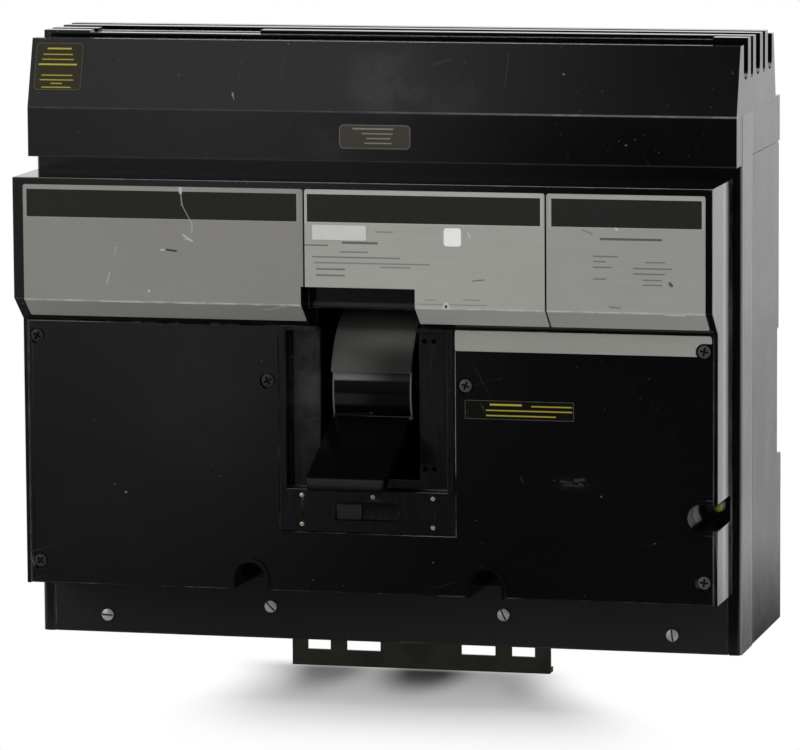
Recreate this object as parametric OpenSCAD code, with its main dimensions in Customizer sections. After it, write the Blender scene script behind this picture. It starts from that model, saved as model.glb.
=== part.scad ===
// Three-pole plug-on moulded-case circuit breaker with a toggle handle.
// Millimetres, +Z up, front towards -Y, origin on the lower back pad.

/* [Case] */
// Distance between pole centres, a third of the case width
pole_pitch = 127; // [122:1:132]
// Depth of the rear moulding, back to seam
rear_d = 85; // [78:1:95]
// Depth of the front moulding, seam to front
mid_d = 32; // [28:1:40]
// Height of the rear moulding
base_h = 260; // [256:1:270]
// Height of the block on top of the rear moulding
bar_h = 23; // [18:1:28]
// Radius of the block's rear top corner
bar_r = 12; // [6:1:16]
// Set-back of the block from the upper back
bar_in = 0.5; // [0:0.1:2]
// Bevel along the top back edge of the rear moulding
top_bevel = 2.5; // [1:0.5:4]
// Radius of the upright front edges
edge_r = 3; // [1:0.5:5]

/* [Back] */
// Height of the lower back pad
pad_h = 91; // [80:1:100]
// Height of the recess above the pad
recess_h = 68; // [50:1:80]
// Depth of the recess above the pad
recess_d = 12; // [8:1:16]
// Set-back of the upper part of the back
upper_d = 7; // [4:0.5:10]

/* [Front cover] */
// Distance of the cover's sides from the case's
cover_in = 4.5; // [3:0.1:8]
// Height of the cover's lower edge above the case bottom
cover_z = 33; // [28:1:40]
// Height of the lower part of the cover
access_h = 141; // [136:0.5:145]
// Height of the slope under the label block
bevel_h = 12.5; // [10:0.5:20]
// Gap between the label block and the hood
cover_gap = 6.7; // [5:0.1:12]
// How far the lower part stands proud of the case
access_out = 41.4; // [36:0.2:48]
// How far the label block stands proud of the lower part
label_out = 15.5; // [10:0.5:20]
// Width of the frame strip beside the access cover
frame_w = 2.4; // [1.5:0.1:4]

/* [Access cover] */
// Thickness of the access cover
plate_t = 4; // [3:0.2:5]
// Width of an arched lead opening
arch_w = 16.6; // [12:0.2:20]
// Height of an arched lead opening
arch_h = 15; // [12:0.5:22]
// Width of the raised rim round the openings
rim_w = 2.2; // [1:0.1:3]
// Height of the raised rim
rim_out = 1.2; // [0.6:0.1:2]
// Radius of the round end of the side notch
notch_r = 6.9; // [5:0.1:8]
// Distance of the side notch's centre from the cover's side
notch_in = 8.8; // [7:0.1:12]
// Height of the side notch above the cover's lower edge
notch_z = 46; // [36:1:60]
// Wall left behind the side notch
notch_wall = 4; // [3:0.5:8]

/* [Access cover screws] */
// Radius of a screw head
head_r = 3.4; // [2.8:0.1:3.8]
// Height of a screw head
head_h = 1.4; // [1:0.1:1.6]
// Depth of the sunk seat under a head
sink_d = 1.6; // [1.2:0.1:2.2]
// Gap round a head in its seat
sink_gap = 0.9; // [0.4:0.1:1.2]
// Length of the cross in a head
cross_l = 4.4; // [3:0.1:5]
// Width of the cross in a head
cross_w = 0.9; // [0.6:0.1:1.2]
// Depth of the cross in a head
cross_d = 0.8; // [0.4:0.1:1]
// Distance of the outer screws from the plate's side
screw_in = 5; // [4.6:0.1:8]
// Distance of the top screws below the plate's top
screw_down = 9; // [7:0.1:11]
// Distance of the lower screws above the plate's lower edge
screw_up = 12; // [8:0.5:20]
// Distance of the inner screws from the escutcheon
inner_out = 6; // [5.4:0.1:10]
// Distance of the inner screws below the plate's top
inner_down = 29.8; // [20:0.1:36]

/* [Handle well] */
// Width of the escutcheon
tray_w = 94; // [90:1:100]
// Height of the escutcheon's lower edge above the cover's
tray_z = 32.5; // [28:0.5:36]
// Height of the lower panel
panel_h = 22.3; // [20:0.1:24]
// Width of the escutcheon's rim
tray_rim = 4; // [3:0.5:6]
// Depth of the side strips
strip_in = 8; // [6:0.5:10]
// Thickness under the side strips
tray_t = 3; // [2:0.5:5]
// Width of the handle slot
slot_w = 53; // [52:0.5:56]
// Reach of the handle slot above and below the pivot
slot_reach = 45; // [42:0.5:48]
// Extra width behind the handle slot, both sides together
well_more = 4; // [2:0.5:6]
// Width of the notch in the label block
gap_w = 60.8; // [58:0.2:70]
// Height of the notch in the label block
gap_h = 22; // [18:0.5:30]

/* [Lower panel] */
// Radius of an insert
insert_r = 1.5; // [1.2:0.1:2.6]
// Radius of an insert's hole
insert_bore = 0.7; // [0.5:0.1:1]
// Length of an insert
insert_l = 6; // [4:0.5:7]
// Floor left in an insert
insert_floor = 1; // [0.5:0.1:2]
// Distance of the outer inserts from the middle
insert_x = 35.2; // [32:0.1:38]
// Distance of the middle insert from the middle
insert_mid = 3; // [0:0.5:8]
// Height of the upper inserts above the panel's lower edge
insert_top = 18.9; // [18:0.1:19.5]
// Height of the lower inserts above the panel's lower edge
insert_low = 3.6; // [3:0.1:5]
// Width of the window
window_w = 33.8; // [28:0.2:40]
// Height of the window
window_h = 8.4; // [6:0.2:9]
// Height of the window above the panel's lower edge
window_z = 6.3; // [6:0.1:7]
// Depth of the window
window_d = 3; // [2:0.2:4]
// Width of the slide in the window
slide_w = 13.6; // [8:0.2:20]
// Distance of the slide behind the panel's face
slide_in = 1.2; // [0.6:0.1:1.8]
// Radius of the small holes in the right strip
dot_r = 1.2; // [0.8:0.1:1.5]
// Depth of the small holes in the right strip
dot_d = 2; // [1:0.1:2.4]
// Distance of the first small holes from the slot
dot_in = 3; // [2.5:0.1:4]
// Distance between two small holes
dot_gap = 5; // [4:0.1:6]
// Distance of the upper small holes below the escutcheon's top
dot_top = 8; // [5:0.1:12]
// Height of the lower small holes above the panel
dot_low = 11; // [6:0.1:16]

/* [Handle] */
// Height of the pivot above the case bottom
pivot_z = 138; // [136:0.5:142]
// Distance of the pivot behind the front moulding's face
pivot_in = 9; // [8:0.5:12]
// Radius of the handle's round apron
drum_r = 41; // [38:0.5:42]
// Width of the apron
drum_w = 43; // [41.4:0.2:43]
// Distance from the pivot to the paddle's tip
paddle_l = 105; // [95:1:112]
// Width of the paddle
paddle_w = 41.4; // [34:0.2:43]
// Thickness of the paddle
paddle_t = 6.5; // [5:0.1:8]
// Radius of the paddle's tip corners
tip_r = 2.5; // [1:0.5:6]
// Radius of the hub that the paddle leaves
hub_r = 38; // [34:0.5:40]
// Width of the hub
hub_w = 42.4; // [41.4:0.2:43]
// Height of the gap in the apron around the paddle
apron_gap = 50; // [44:0.5:56]
// Size of the corner fill where the paddle leaves the hub
root_r = 0.8; // [0.5:0.1:4]
// Wall behind the pivot hole
hub_wall = 8; // [6:0.5:12]
// Angle of the paddle below level when off
off_angle = 23; // [18:1:28]
// Radius of the pivot shaft
shaft_r = 4; // [3:0.1:5]
// Length of shaft held in each side of the case
shaft_hold = 11.5; // [8:0.5:14]

/* [Hood] */
// Height of the hood above the block
hood_h = 36; // [30:1:42]
// Length of the hood's front skirt below its crease
skirt_h = 26; // [20:1:27]
// How far the skirt stands proud of the case
hood_out = 14.4; // [10:0.2:18]
// Set-back of the hood's top edge from its skirt
hood_lean = 11.1; // [6:0.1:12]
// Distance of the hood's top back edge from the case back
hood_back = 24.5; // [22:0.5:26]
// Slope of the hood's back wall from bottom to top
back_lean = 6.5; // [2:0.5:10]
// Distance of the rear skirt's outer face from the case back
rear_skirt = 5.5; // [4:0.1:6]
// Height of the rear skirt's ledge above the block
ledge_h = 1.5; // [1:0.1:3]
// Distance between slot centres
slot_pitch = 17.4; // [17:0.1:18]
// Distance of the rearmost slot's centre from the case back
slot_back = 36; // [35:0.5:38]
// Width of a bar slot
wide_slot = 12.4; // [11.6:0.1:13]
// Width of a barrier slot
thin_slot = 6.8; // [5:0.1:8]
// Depth of the slots
slot_d = 18.5; // [15:0.5:22]
// How far the fins stand above the front wall
fin_up = 2.8; // [1.6:0.2:4]
// Depth of the dips along two fins
dip_d = 1.2; // [0.4:0.1:1.4]
// Distance of the dips from the left side
dip_left = 25.5; // [15:0.5:40]
// Distance of the front fin's dip from the right side
dip_right = 18.5; // [10:0.5:40]
// Length of the second fin's dip
dip_l = 90; // [60:1:120]

/* [Line jaws] */
// Length of a jaw
jaw_l = 60; // [40:1:70]
// Gap between a jaw's fingers
jaw_gap = 6.6; // [6:0.1:7]
// Thickness of a finger
jaw_t = 2.2; // [1.6:0.1:2.4]
// Height of a jaw
jaw_h = 20; // [16:1:24]
// Depth of the jaw pocket below the slot
jaw_d = 11; // [8:0.5:12]
// Gap at each end of a jaw
jaw_end = 1; // [0.5:0.1:2]

/* [Load end] */
// Thickness of the terminal cover plate
term_t = 5; // [3:0.5:7]
// Thickness of the case's side walls
wall_t = 6.5; // [5:0.5:9]
// Gap beside and in front of a lug in its pocket
lug_gap = 3; // [2:0.5:3.5]
// Height of a wire pocket
pocket_h = 60; // [54:1:70]
// Distance between wire holes across a lug
wire_x = 29; // [27:0.5:32]
// Distance between wire holes front to back
wire_y = 29; // [26.5:0.5:30]
// Radius of a wire hole
wire_r = 11.5; // [9:0.5:12]
// Height of a lug
lug_h = 50; // [40:1:54]
// Radius of a terminal cover screw's head
term_r = 3.3; // [2.8:0.1:4]
// Height of a terminal cover screw's head
term_h = 2; // [1.5:0.1:3]
// Width of the slot in a terminal cover screw
term_slot = 1; // [0.6:0.1:1.4]
// Depth of the slot in a terminal cover screw
term_cut = 0.9; // [0.5:0.1:1.2]
// Distance of the outer terminal cover screws from the case's side
term_in = 36.5; // [30:0.5:44]
// Height of the outer terminal cover screws
term_low = 9.7; // [7:0.1:14]
// Height of the inner terminal cover screws
term_high = 17.4; // [12:0.1:22]

/* [Bracket] */
// Width of the mounting bracket
brk_w = 144; // [138:1:150]
// Drop of the bracket below the case
brk_h = 28; // [26:1:34]
// Thickness of the bracket's steel
brk_t = 3; // [2:0.5:4]
// Distance of the bracket's face from the case back
brk_y = 42.5; // [36:0.5:46]
// Depth of the flange under the case
flange_d = 27; // [22:1:32]
// Depth of the lip along the lower edge
lip_d = 5; // [3:0.5:8]
// Strip of steel above the slots
brk_top = 3; // [2:0.5:5]
// Inner end of the outer slots, from the middle
outer_x = 50.5; // [47:0.5:52]
// Width of the outer slots
outer_w = 13; // [10:0.5:15]
// Height of the outer slots above the lower edge
outer_z = 8.8; // [7:0.1:12]
// Inner end of the inner slots, from the middle
inner_x = 22.5; // [18:0.5:24]
// Width of the inner slots
inner_w = 19.1; // [14:0.1:20]
// Height of the inner slots above the lower edge
inner_z = 8.8; // [7:0.1:12]
// Distance between the flange screws
flange_x = 50; // [40:1:60]
// Distance of the flange screws from the flange's back edge
flange_in = 10; // [8:0.5:14]
// Radius of a flange screw
bolt_r = 2.5; // [2:0.1:3]
// Radius of a flange screw's head
bolt_head = 4.5; // [4:0.1:6]
// Height of a flange screw's head
bolt_h = 2.5; // [2:0.1:4]

/* [Label plates] */
// Thickness of the plates
label_t = 0.8; // [0.5:0.1:1.5]
// Margin above the plates
label_m = 3.6; // [2:0.1:6]
// Margin beside the left plate
label_left = 6; // [3:0.1:8]
// Margin beside the right plate
label_right = 3.6; // [2:0.1:6]
// Radius of the plates' corners
label_r = 1.2; // [0.5:0.1:2]
// Gap between plates
label_gap = 1; // [0.5:0.1:3]
// Width of the left plate with the gap beside it
left_label_w = 152; // [140:1:154]
// Width of the right plate
right_label_w = 82.6; // [70:0.2:100]
// Share of the slope that the plates leave bare
label_bare = 0.26; // [0:0.02:0.4]
// Height of the strip on the access cover
strip_h = 10.7; // [9:0.1:13]
// Margin round the strip
strip_m = 0.8; // [0.4:0.1:2]
// Radius of the strip's corners
strip_r = 1.4; // [0.6:0.1:2]

/* [Hidden] */
cut = 1;
fit = 0.2;
run = 0.05;
clear = 5;
poles = [-pole_pitch, 0, pole_pitch];
case_w = 3 * pole_pitch;
cover_w = case_w - 2 * cover_in;
y_seam = -rear_d;
y_front = -(rear_d + mid_d);
y_access = y_front - access_out;
y_label = y_access - label_out;
y_strip = y_access + strip_in;
y_tray = y_strip + tray_t;
y_pivot = y_front + pivot_in;
y_block = -upper_d - bar_in;
y_hood = y_front - hood_out;
y_lug = y_front + term_t + lug_gap;
z_top = base_h + bar_h;
z_skirt = z_top - skirt_h;
z_bevel = cover_z + access_h;
z_block = z_bevel + bevel_h;
z_cover = z_skirt - cover_gap;
z_gap = z_bevel + gap_h;
z_tray = cover_z + tray_z;
z_panel = z_tray + panel_h;
z_hood = z_top + hood_h;
z_slot = z_hood - slot_d;
z_jaw = z_slot - jaw_d;
plate_w = cover_w - 2 * frame_w;
well_w = slot_w + well_more;
well_r = drum_r + clear;
notch_x = cover_w / 2 - notch_in;
notch_h = cover_z + notch_z;
lug_w = 2 * wire_x;
lug_d = 2 * wire_y;
pocket_w = lug_w + 2 * lug_gap;
screw_x = plate_w / 2 - screw_in;
arch_x = pole_pitch / 2;
slots = [for (i = [0:4]) [-slot_back - i * slot_pitch, i % 2 == 0 ? wide_slot : thin_slot]];
slope_l = sqrt(label_out * label_out + bevel_h * bevel_h);
lab_x0 = -cover_w / 2 + label_left;
lab_x1 = lab_x0 + left_label_w;
lab_x3 = cover_w / 2 - label_right;
lab_x2 = lab_x3 - right_label_w;

// Puts the origin on the middle of the lower back pad
module lift() translate([0, 0, -pad_h / 2]) children();
// Sweeps a profile drawn in Y and Z along X
module along_x(len) rotate([90, 0, 90]) linear_extrude(height = len, center = true) children();
// Sweeps an outline drawn in X and Z from y0 to y1
module along_y(y0, y1) translate([0, y1, 0]) rotate([90, 0, 0]) linear_extrude(height = y1 - y0) children();
module box(x0, x1, y0, y1, z0, z1) translate([x0, y0, z0]) cube([x1 - x0, y1 - y0, z1 - z0]);
module rect(x0, x1, z0, z1) translate([x0, z0]) square([x1 - x0, z1 - z0]);
module round_rect(x0, x1, z0, z1, r) {
  rect(x0 + r, x1 - r, z0, z1);
  rect(x0, x1, z0 + r, z1 - r);
  for (x = [x0 + r, x1 - r], z = [z0 + r, z1 - r]) translate([x, z]) circle(r, $fn = 24);
}
module turned_y() rotate([90, 0, 0]) children();

// Space swept by the handle
module drum_space(y0, y1) box(-well_w / 2, well_w / 2, y0, y1, pivot_z - well_r, pivot_z + well_r);
module wire_pockets(y0, y1)
  for (x = poles) box(x - pocket_w / 2, x + pocket_w / 2, y0, y1, -cut, pocket_h);

module base_case() color("#1b1b1e") lift() difference() {
  along_x(case_w) polygon([[y_seam, 0], [0, 0], [0, pad_h], [-recess_d, pad_h],
    [-recess_d, pad_h + recess_h], [-upper_d, pad_h + recess_h], [-upper_d, base_h - top_bevel],
    [-upper_d - top_bevel, base_h], [y_seam, base_h]]);
  drum_space(y_seam - cut, y_pivot + drum_r + clear);
  wire_pockets(y_seam - cut, y_lug + lug_d);
}

module mid_case() color("#1d1d20") lift() difference() {
  linear_extrude(height = z_top) {
    rect(-case_w / 2 + edge_r, case_w / 2 - edge_r, y_front, y_seam);
    rect(-case_w / 2, case_w / 2, y_front + edge_r, y_seam);
    for (s = [-1, 1]) translate([s * (case_w / 2 - edge_r), y_front + edge_r]) circle(edge_r, $fn = 48);
  }
  drum_space(y_front - cut, y_seam + cut);
  wire_pockets(y_front + term_t - cut, y_seam + cut);
  box(-case_w / 2 + wall_t, case_w / 2 - wall_t, y_front - cut, y_front + term_t, -cut, cover_z);
  translate([0, y_pivot, pivot_z]) rotate([0, 90, 0])
    cylinder(r = shaft_r + run / 2, h = well_w + 2 * shaft_hold + fit, center = true, $fn = 48);
}

// Block on the rear moulding with a round rear top corner
module block_profile(grow) {
  back = y_block + grow;
  rect(y_seam, back - bar_r, base_h, z_top);
  rect(y_seam, back, base_h, z_top - bar_r);
  intersection() {
    translate([back - bar_r, z_top - bar_r]) circle(bar_r, $fn = 64);
    rect(y_seam, back, base_h, z_top);
  }
}
module top_block() color("#1b1b1e") lift() along_x(case_w) block_profile(0);

module jaw_hood() color("#151518") lift() difference() {
  union() {
    along_x(case_w) difference() {
      polygon([[y_hood, z_skirt], [y_hood, z_top], [y_hood + hood_lean, z_hood], [-hood_back, z_hood],
        [-hood_back + back_lean, z_top + ledge_h], [-rear_skirt, z_top + ledge_h], [-rear_skirt, z_skirt]]);
      rect(y_front, y_seam + cut, z_skirt - cut, z_top);
      rect(y_seam, 0, z_skirt - cut, base_h + fit);
      block_profile(fit);
    }
    for (i = [0:3]) fin(i);
  }
  for (s = slots) along_x(case_w + 2 * cut) slot_profile(s[0], s[1]);
  for (i = [0:2]) jaw_pocket(i);
  fin_dip(3, -case_w / 2 + dip_left, case_w / 2 - dip_right);
  fin_dip(2, -case_w / 2 + dip_left, -case_w / 2 + dip_left + dip_l);
}

// Raised top of the fin between two slots
function fin_y0(i) = slots[i + 1][0] + slots[i + 1][1] / 2;
function fin_y1(i) = slots[i][0] - slots[i][1] / 2;
module fin(i) box(-case_w / 2, case_w / 2, fin_y0(i), fin_y1(i), z_hood - cut, z_hood + fin_up);
module fin_dip(i, x0, x1)
  box(x0, x1, fin_y0(i) - cut, fin_y1(i) + cut, z_hood + fin_up - dip_d, z_hood + fin_up + cut);

// Slot with a round bottom, open at the top
module slot_profile(y, w) {
  translate([y, z_slot + w / 2]) circle(w / 2, $fn = 48);
  rect(y - w / 2, y + w / 2, z_slot + w / 2, z_hood + fin_up + cut);
}
module jaw_pocket(i) {
  s = slots[4 - 2 * i];
  half = jaw_l / 2 + jaw_end;
  box(poles[i] - half, poles[i] + half, s[0] - s[1] / 2, s[0] + s[1] / 2, z_jaw, z_hood);
}

// U-shaped contact in a bar slot
module line_jaw(i) color("#b8734a") lift() translate([poles[i], 0, z_jaw]) along_x(jaw_l) {
  y = slots[4 - 2 * i][0];
  w = jaw_gap / 2 + jaw_t;
  difference() {
    rect(y - w, y + w, 0, jaw_h);
    rect(y - jaw_gap / 2, y + jaw_gap / 2, jaw_t, jaw_h + cut);
  }
}
module left_line_jaw() line_jaw(0);
module center_line_jaw() line_jaw(1);
module right_line_jaw() line_jaw(2);

module arch_shape(x, grow) {
  w = arch_w / 2 + grow;
  top = cover_z + arch_h - arch_w / 2;
  translate([x, top]) circle(w, $fn = 48);
  rect(x - w, x + w, cover_z - cut, top);
}
module side_notch_shape(grow) {
  translate([notch_x, notch_h]) circle(notch_r + grow, $fn = 48);
  rect(notch_x, cover_w / 2 + cut, notch_h - notch_r - grow, notch_h + notch_r + grow);
}

module front_cover() color("#161619") lift() difference() {
  along_x(cover_w) polygon([[y_front, cover_z], [y_access, cover_z], [y_access, z_bevel],
    [y_label, z_block], [y_label, z_cover], [y_front, z_cover]]);
  box(-plate_w / 2 - fit, plate_w / 2 + fit, y_access - cut, y_access + plate_t, cover_z - cut, z_bevel);
  box(-tray_w / 2 - fit, tray_w / 2 + fit, y_access - cut, y_tray, z_tray - fit, z_bevel);
  box(-gap_w / 2, gap_w / 2, y_label - cut, y_access, z_bevel - cut, z_gap);
  box(-gap_w / 2, gap_w / 2, y_access - cut, y_tray, z_bevel - cut, pivot_z + slot_reach);
  drum_space(y_tray - cut, y_front + cut);
  for (s = [-1, 1]) along_y(y_access - cut, y_front + cut) arch_shape(s * arch_x, 0);
  along_y(y_access - cut, y_front - notch_wall) side_notch_shape(0);
}

module screw_places() for (s = [-1, 1]) {
  translate([s * screw_x, y_access + sink_d, z_bevel - screw_down]) turned_y() children();
  translate([s * (tray_w / 2 + inner_out), y_access + sink_d, z_bevel - inner_down]) turned_y() children();
  translate([s * screw_x, y_access + sink_d, cover_z + screw_up]) turned_y() children();
}

module access_cover() color("#141417") lift() difference() {
  union() {
    along_y(y_access, y_access + plate_t) difference() {
      rect(-plate_w / 2, plate_w / 2, cover_z + fit, z_bevel - fit);
      rect(-tray_w / 2 - fit, tray_w / 2 + fit, z_tray - fit, z_bevel + cut);
    }
    along_y(y_access - rim_out, y_access + cut) intersection() {
      union() {
        for (s = [-1, 1]) arch_shape(s * arch_x, rim_w);
        side_notch_shape(rim_w);
      }
      rect(-plate_w / 2, plate_w / 2, cover_z + fit, z_bevel);
    }
  }
  along_y(y_access - rim_out - cut, y_access + plate_t + cut) {
    for (s = [-1, 1]) arch_shape(s * arch_x, 0);
    side_notch_shape(0);
  }
  screw_places() cylinder(r = head_r + sink_gap, h = sink_d + cut, $fn = 32);
}

module access_cover_screws() color("#2b2a28") lift() screw_places() difference() {
  cylinder(r = head_r, h = head_h, $fn = 32);
  for (a = [0, 90]) rotate([0, 0, a]) translate([-cross_l / 2, -cross_w / 2, head_h - cross_d])
    cube([cross_l, cross_w, cross_d + cut]);
}

module insert_places() {
  for (p = [[-insert_x, insert_top], [insert_mid, insert_top], [insert_x, insert_top],
    [-insert_x, insert_low], [insert_x, insert_low]])
    translate([p[0], y_access + insert_l, z_tray + p[1]]) turned_y() children();
}
module window_box(x1, y0, y1, gap)
  box(-window_w / 2 + gap, x1, y0, y1, z_tray + window_z + gap, z_tray + window_z + window_h - gap);
module small_holes() for (i = [0, 1], z = [z_bevel - dot_top, z_panel + dot_low])
  translate([slot_w / 2 + dot_in + i * dot_gap, y_strip + dot_d, z]) turned_y()
    cylinder(r = dot_r, h = dot_d + cut, $fn = 24);

module handle_escutcheon() color("#18181b") lift() difference() {
  box(-tray_w / 2, tray_w / 2, y_access, y_tray, z_tray, z_bevel - fit);
  box(-tray_w / 2 + tray_rim, tray_w / 2 - tray_rim, y_access - cut, y_strip, z_panel, z_bevel - tray_t);
  box(-slot_w / 2, slot_w / 2, y_access - cut, y_tray + cut, pivot_z - slot_reach, z_bevel + cut);
  window_box(window_w / 2, y_access - cut, y_access + window_d, 0);
  insert_places() cylinder(r = insert_r + run, h = insert_l + cut, $fn = 32);
  small_holes();
}
module escutcheon_inserts() color("#b59a55") lift() insert_places() difference() {
  cylinder(r = insert_r, h = insert_l, $fn = 32);
  translate([0, 0, insert_floor]) cylinder(r = insert_bore, h = insert_l, $fn = 32);
}
module window_slide() color("#2c2c2e") lift()
  window_box(-window_w / 2 + slide_w, y_access + slide_in, y_access + window_d, fit);

// Corner fills above and below the paddle where it leaves the hub
module root_profile() for (s = [-1, 1]) {
  a = atan((paddle_t / 2 + root_r) / hub_r);
  p = [-hub_r - root_r, s * paddle_t / 2];
  q = [-hub_r * cos(a), s * hub_r * sin(a)];
  polygon([p + (p - q) / 2, 2 * q - p, [-hub_r / 2, 0]]);
}
module paddle_outline() {
  rect(-paddle_w / 2, paddle_w / 2, -paddle_l + tip_r, -hub_r / 2);
  rect(-paddle_w / 2 + tip_r, paddle_w / 2 - tip_r, -paddle_l, -hub_r / 2);
  for (s = [-1, 1]) translate([s * (paddle_w / 2 - tip_r), -paddle_l + tip_r]) circle(tip_r, $fn = 32);
}
module handle() color("#19191c") lift() translate([0, y_pivot, pivot_z]) difference() {
  intersection() {
    union() {
      difference() {
        along_x(drum_w) circle(drum_r, $fn = 96);
        rotate([off_angle, 0, 0]) box(-drum_w, drum_w, -2 * drum_r, 0, -apron_gap / 2, apron_gap / 2);
      }
      along_x(hub_w) circle(hub_r, $fn = 96);
      rotate([off_angle, 0, 0]) {
        along_x(paddle_w) root_profile();
        translate([0, 0, -paddle_t / 2]) linear_extrude(height = paddle_t) paddle_outline();
      }
    }
    box(-drum_w, drum_w, -2 * paddle_l, shaft_r + hub_wall, -2 * drum_r, 2 * drum_r);
  }
  along_x(drum_w + 2 * cut) circle(shaft_r + run, $fn = 48);
}
module handle_shaft() color("#8d8f92") lift() translate([0, y_pivot, pivot_z]) rotate([0, 90, 0])
  cylinder(r = shaft_r, h = well_w + 2 * shaft_hold, center = true, $fn = 48);

// Plate bent over the slope under the label block
module label_sheet(x0, x1) {
  bend = label_t * (slope_l - label_out) / bevel_h;
  ye = y_access - label_bare * label_out;
  ze = z_bevel + label_bare * bevel_h;
  n = label_t / slope_l;
  top = z_cover - label_m;
  intersection() {
    translate([(x0 + x1) / 2, 0, 0]) along_x(x1 - x0 + 2 * cut) polygon([[y_label, top + cut],
      [y_label - label_t, top + cut], [y_label - label_t, z_block - bend],
      [ye - n * bevel_h, ze - n * label_out], [ye, ze], [y_label, z_block]]);
    along_y(y_label - label_t - cut, y_access + cut)
      round_rect(x0, x1, ze - n * label_out - label_r / 4, top, label_r);
  }
}
module label_gap_box() box(-gap_w / 2, gap_w / 2, y_label - label_t - cut, y_access, z_bevel - cut, z_gap);
module left_label_plate() color("#8f8f8a") lift() difference() {
  label_sheet(lab_x0, lab_x1 - label_gap);
  label_gap_box();
}
module center_label_plate() color("#8f8f8a") lift() difference() {
  label_sheet(lab_x1, lab_x2 - label_gap);
  label_gap_box();
}
module right_label_plate() color("#8f8f8a") lift() label_sheet(lab_x2, lab_x3);

module access_label_strip() color("#8f8f8a") lift() along_y(y_access - label_t, y_access) {
  top = z_bevel - strip_m;
  screw_z = z_bevel - screw_down;
  hole = head_r + sink_gap;
  difference() {
    round_rect(tray_w / 2 + strip_m, plate_w / 2 - strip_m, top - strip_h, top, strip_r);
    translate([screw_x, screw_z]) circle(hole, $fn = 48);
    rect(screw_x, plate_w / 2, top - strip_h - cut, screw_z + hole);
  }
}

module terminal_cover() color("#17171a") lift()
  box(-case_w / 2 + wall_t + fit, case_w / 2 - wall_t - fit, y_front, y_front + term_t, 0, cover_z - fit);
module terminal_screw_places() for (s = [-1, 1]) {
  translate([s * (case_w / 2 - term_in), y_front, term_low]) turned_y() children();
  translate([s * arch_x, y_front, term_high]) turned_y() children();
}
module terminal_cover_screws() color("#c9c9c4") lift() terminal_screw_places() difference() {
  cylinder(r = term_r, h = term_h, $fn = 32);
  translate([-term_r - cut, -term_slot / 2, term_h - term_cut])
    cube([2 * term_r + 2 * cut, term_slot, term_cut + cut]);
}

module brk_slot(x0, w, z) for (s = [-1, 1])
  box(s * (x0 + w / 2) - w / 2, s * (x0 + w / 2) + w / 2, -brk_y - cut, -brk_y + brk_t + cut,
    -brk_h + z, -brk_t - brk_top);
module flange_places() for (i = [-1:1])
  translate([i * flange_x, -brk_y + flange_d - flange_in, -brk_t]) children();
module mounting_bracket() color("#5a574a") lift() difference() {
  along_x(brk_w) {
    rect(-brk_y, -brk_y + brk_t, -brk_h, 0);
    rect(-brk_y, -brk_y + flange_d, -brk_t, 0);
    rect(-brk_y, -brk_y + brk_t + lip_d, -brk_h, -brk_h + brk_t);
  }
  brk_slot(outer_x, outer_w, outer_z);
  brk_slot(inner_x, inner_w, inner_z);
  flange_places() translate([0, 0, -cut]) cylinder(r = bolt_r + fit, h = brk_t + 2 * cut, $fn = 32);
}
module bracket_screws() color("#9a9a94") lift() flange_places() {
  translate([0, 0, -bolt_h]) cylinder(r = bolt_head, h = bolt_h, $fn = 32);
  translate([0, 0, -cut]) cylinder(r = bolt_r, h = brk_t + cut, $fn = 32);
}

// Set-screw lug with four wire holes
module load_lug(i) color("#b9bbbd") lift()
  translate([poles[i], y_lug + lug_d / 2, pocket_h - lug_h]) difference() {
    translate([-lug_w / 2, -lug_d / 2, 0]) cube([lug_w, lug_d, lug_h]);
    for (x = [-1, 1], y = [-1, 1]) translate([x * wire_x / 2, y * wire_y / 2, -cut])
      cylinder(r = wire_r, h = lug_h + 2 * cut, $fn = 48);
  }
module left_load_lug() load_lug(0);
module center_load_lug() load_lug(1);
module right_load_lug() load_lug(2);

base_case();
mid_case();
top_block();
jaw_hood();
front_cover();
access_cover();
handle_escutcheon();
handle();
handle_shaft();
window_slide();
escutcheon_inserts();
left_label_plate();
center_label_plate();
right_label_plate();
access_label_strip();
terminal_cover();
mounting_bracket();
left_line_jaw();
center_line_jaw();
right_line_jaw();
left_load_lug();
center_load_lug();
right_load_lug();
access_cover_screws();
terminal_cover_screws();
bracket_screws();
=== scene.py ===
"""Three-pole moulded case circuit breaker: finishes, small parts, stage and camera over the CAD frame."""
import math

import bmesh
import bpy
import numpy as np
from mathutils import Matrix, Vector


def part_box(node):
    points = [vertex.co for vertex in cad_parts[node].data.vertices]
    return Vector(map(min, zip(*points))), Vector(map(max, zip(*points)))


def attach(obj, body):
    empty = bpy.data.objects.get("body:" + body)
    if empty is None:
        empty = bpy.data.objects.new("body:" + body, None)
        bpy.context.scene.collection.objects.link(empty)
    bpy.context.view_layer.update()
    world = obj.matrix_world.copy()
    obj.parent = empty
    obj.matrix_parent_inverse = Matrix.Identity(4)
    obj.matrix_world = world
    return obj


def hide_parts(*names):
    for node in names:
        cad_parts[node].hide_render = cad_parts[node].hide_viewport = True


bl_info = {
    "name": "Moulded Case Breaker",
    "version": (1, 0, 0),
    "blender": (4, 5, 0),
    "location": "View3D > Sidebar > Breaker",
    "description": "Finishes, small parts, stage and camera of a three-pole plug-on breaker",
    "category": "Object",
}

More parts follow.
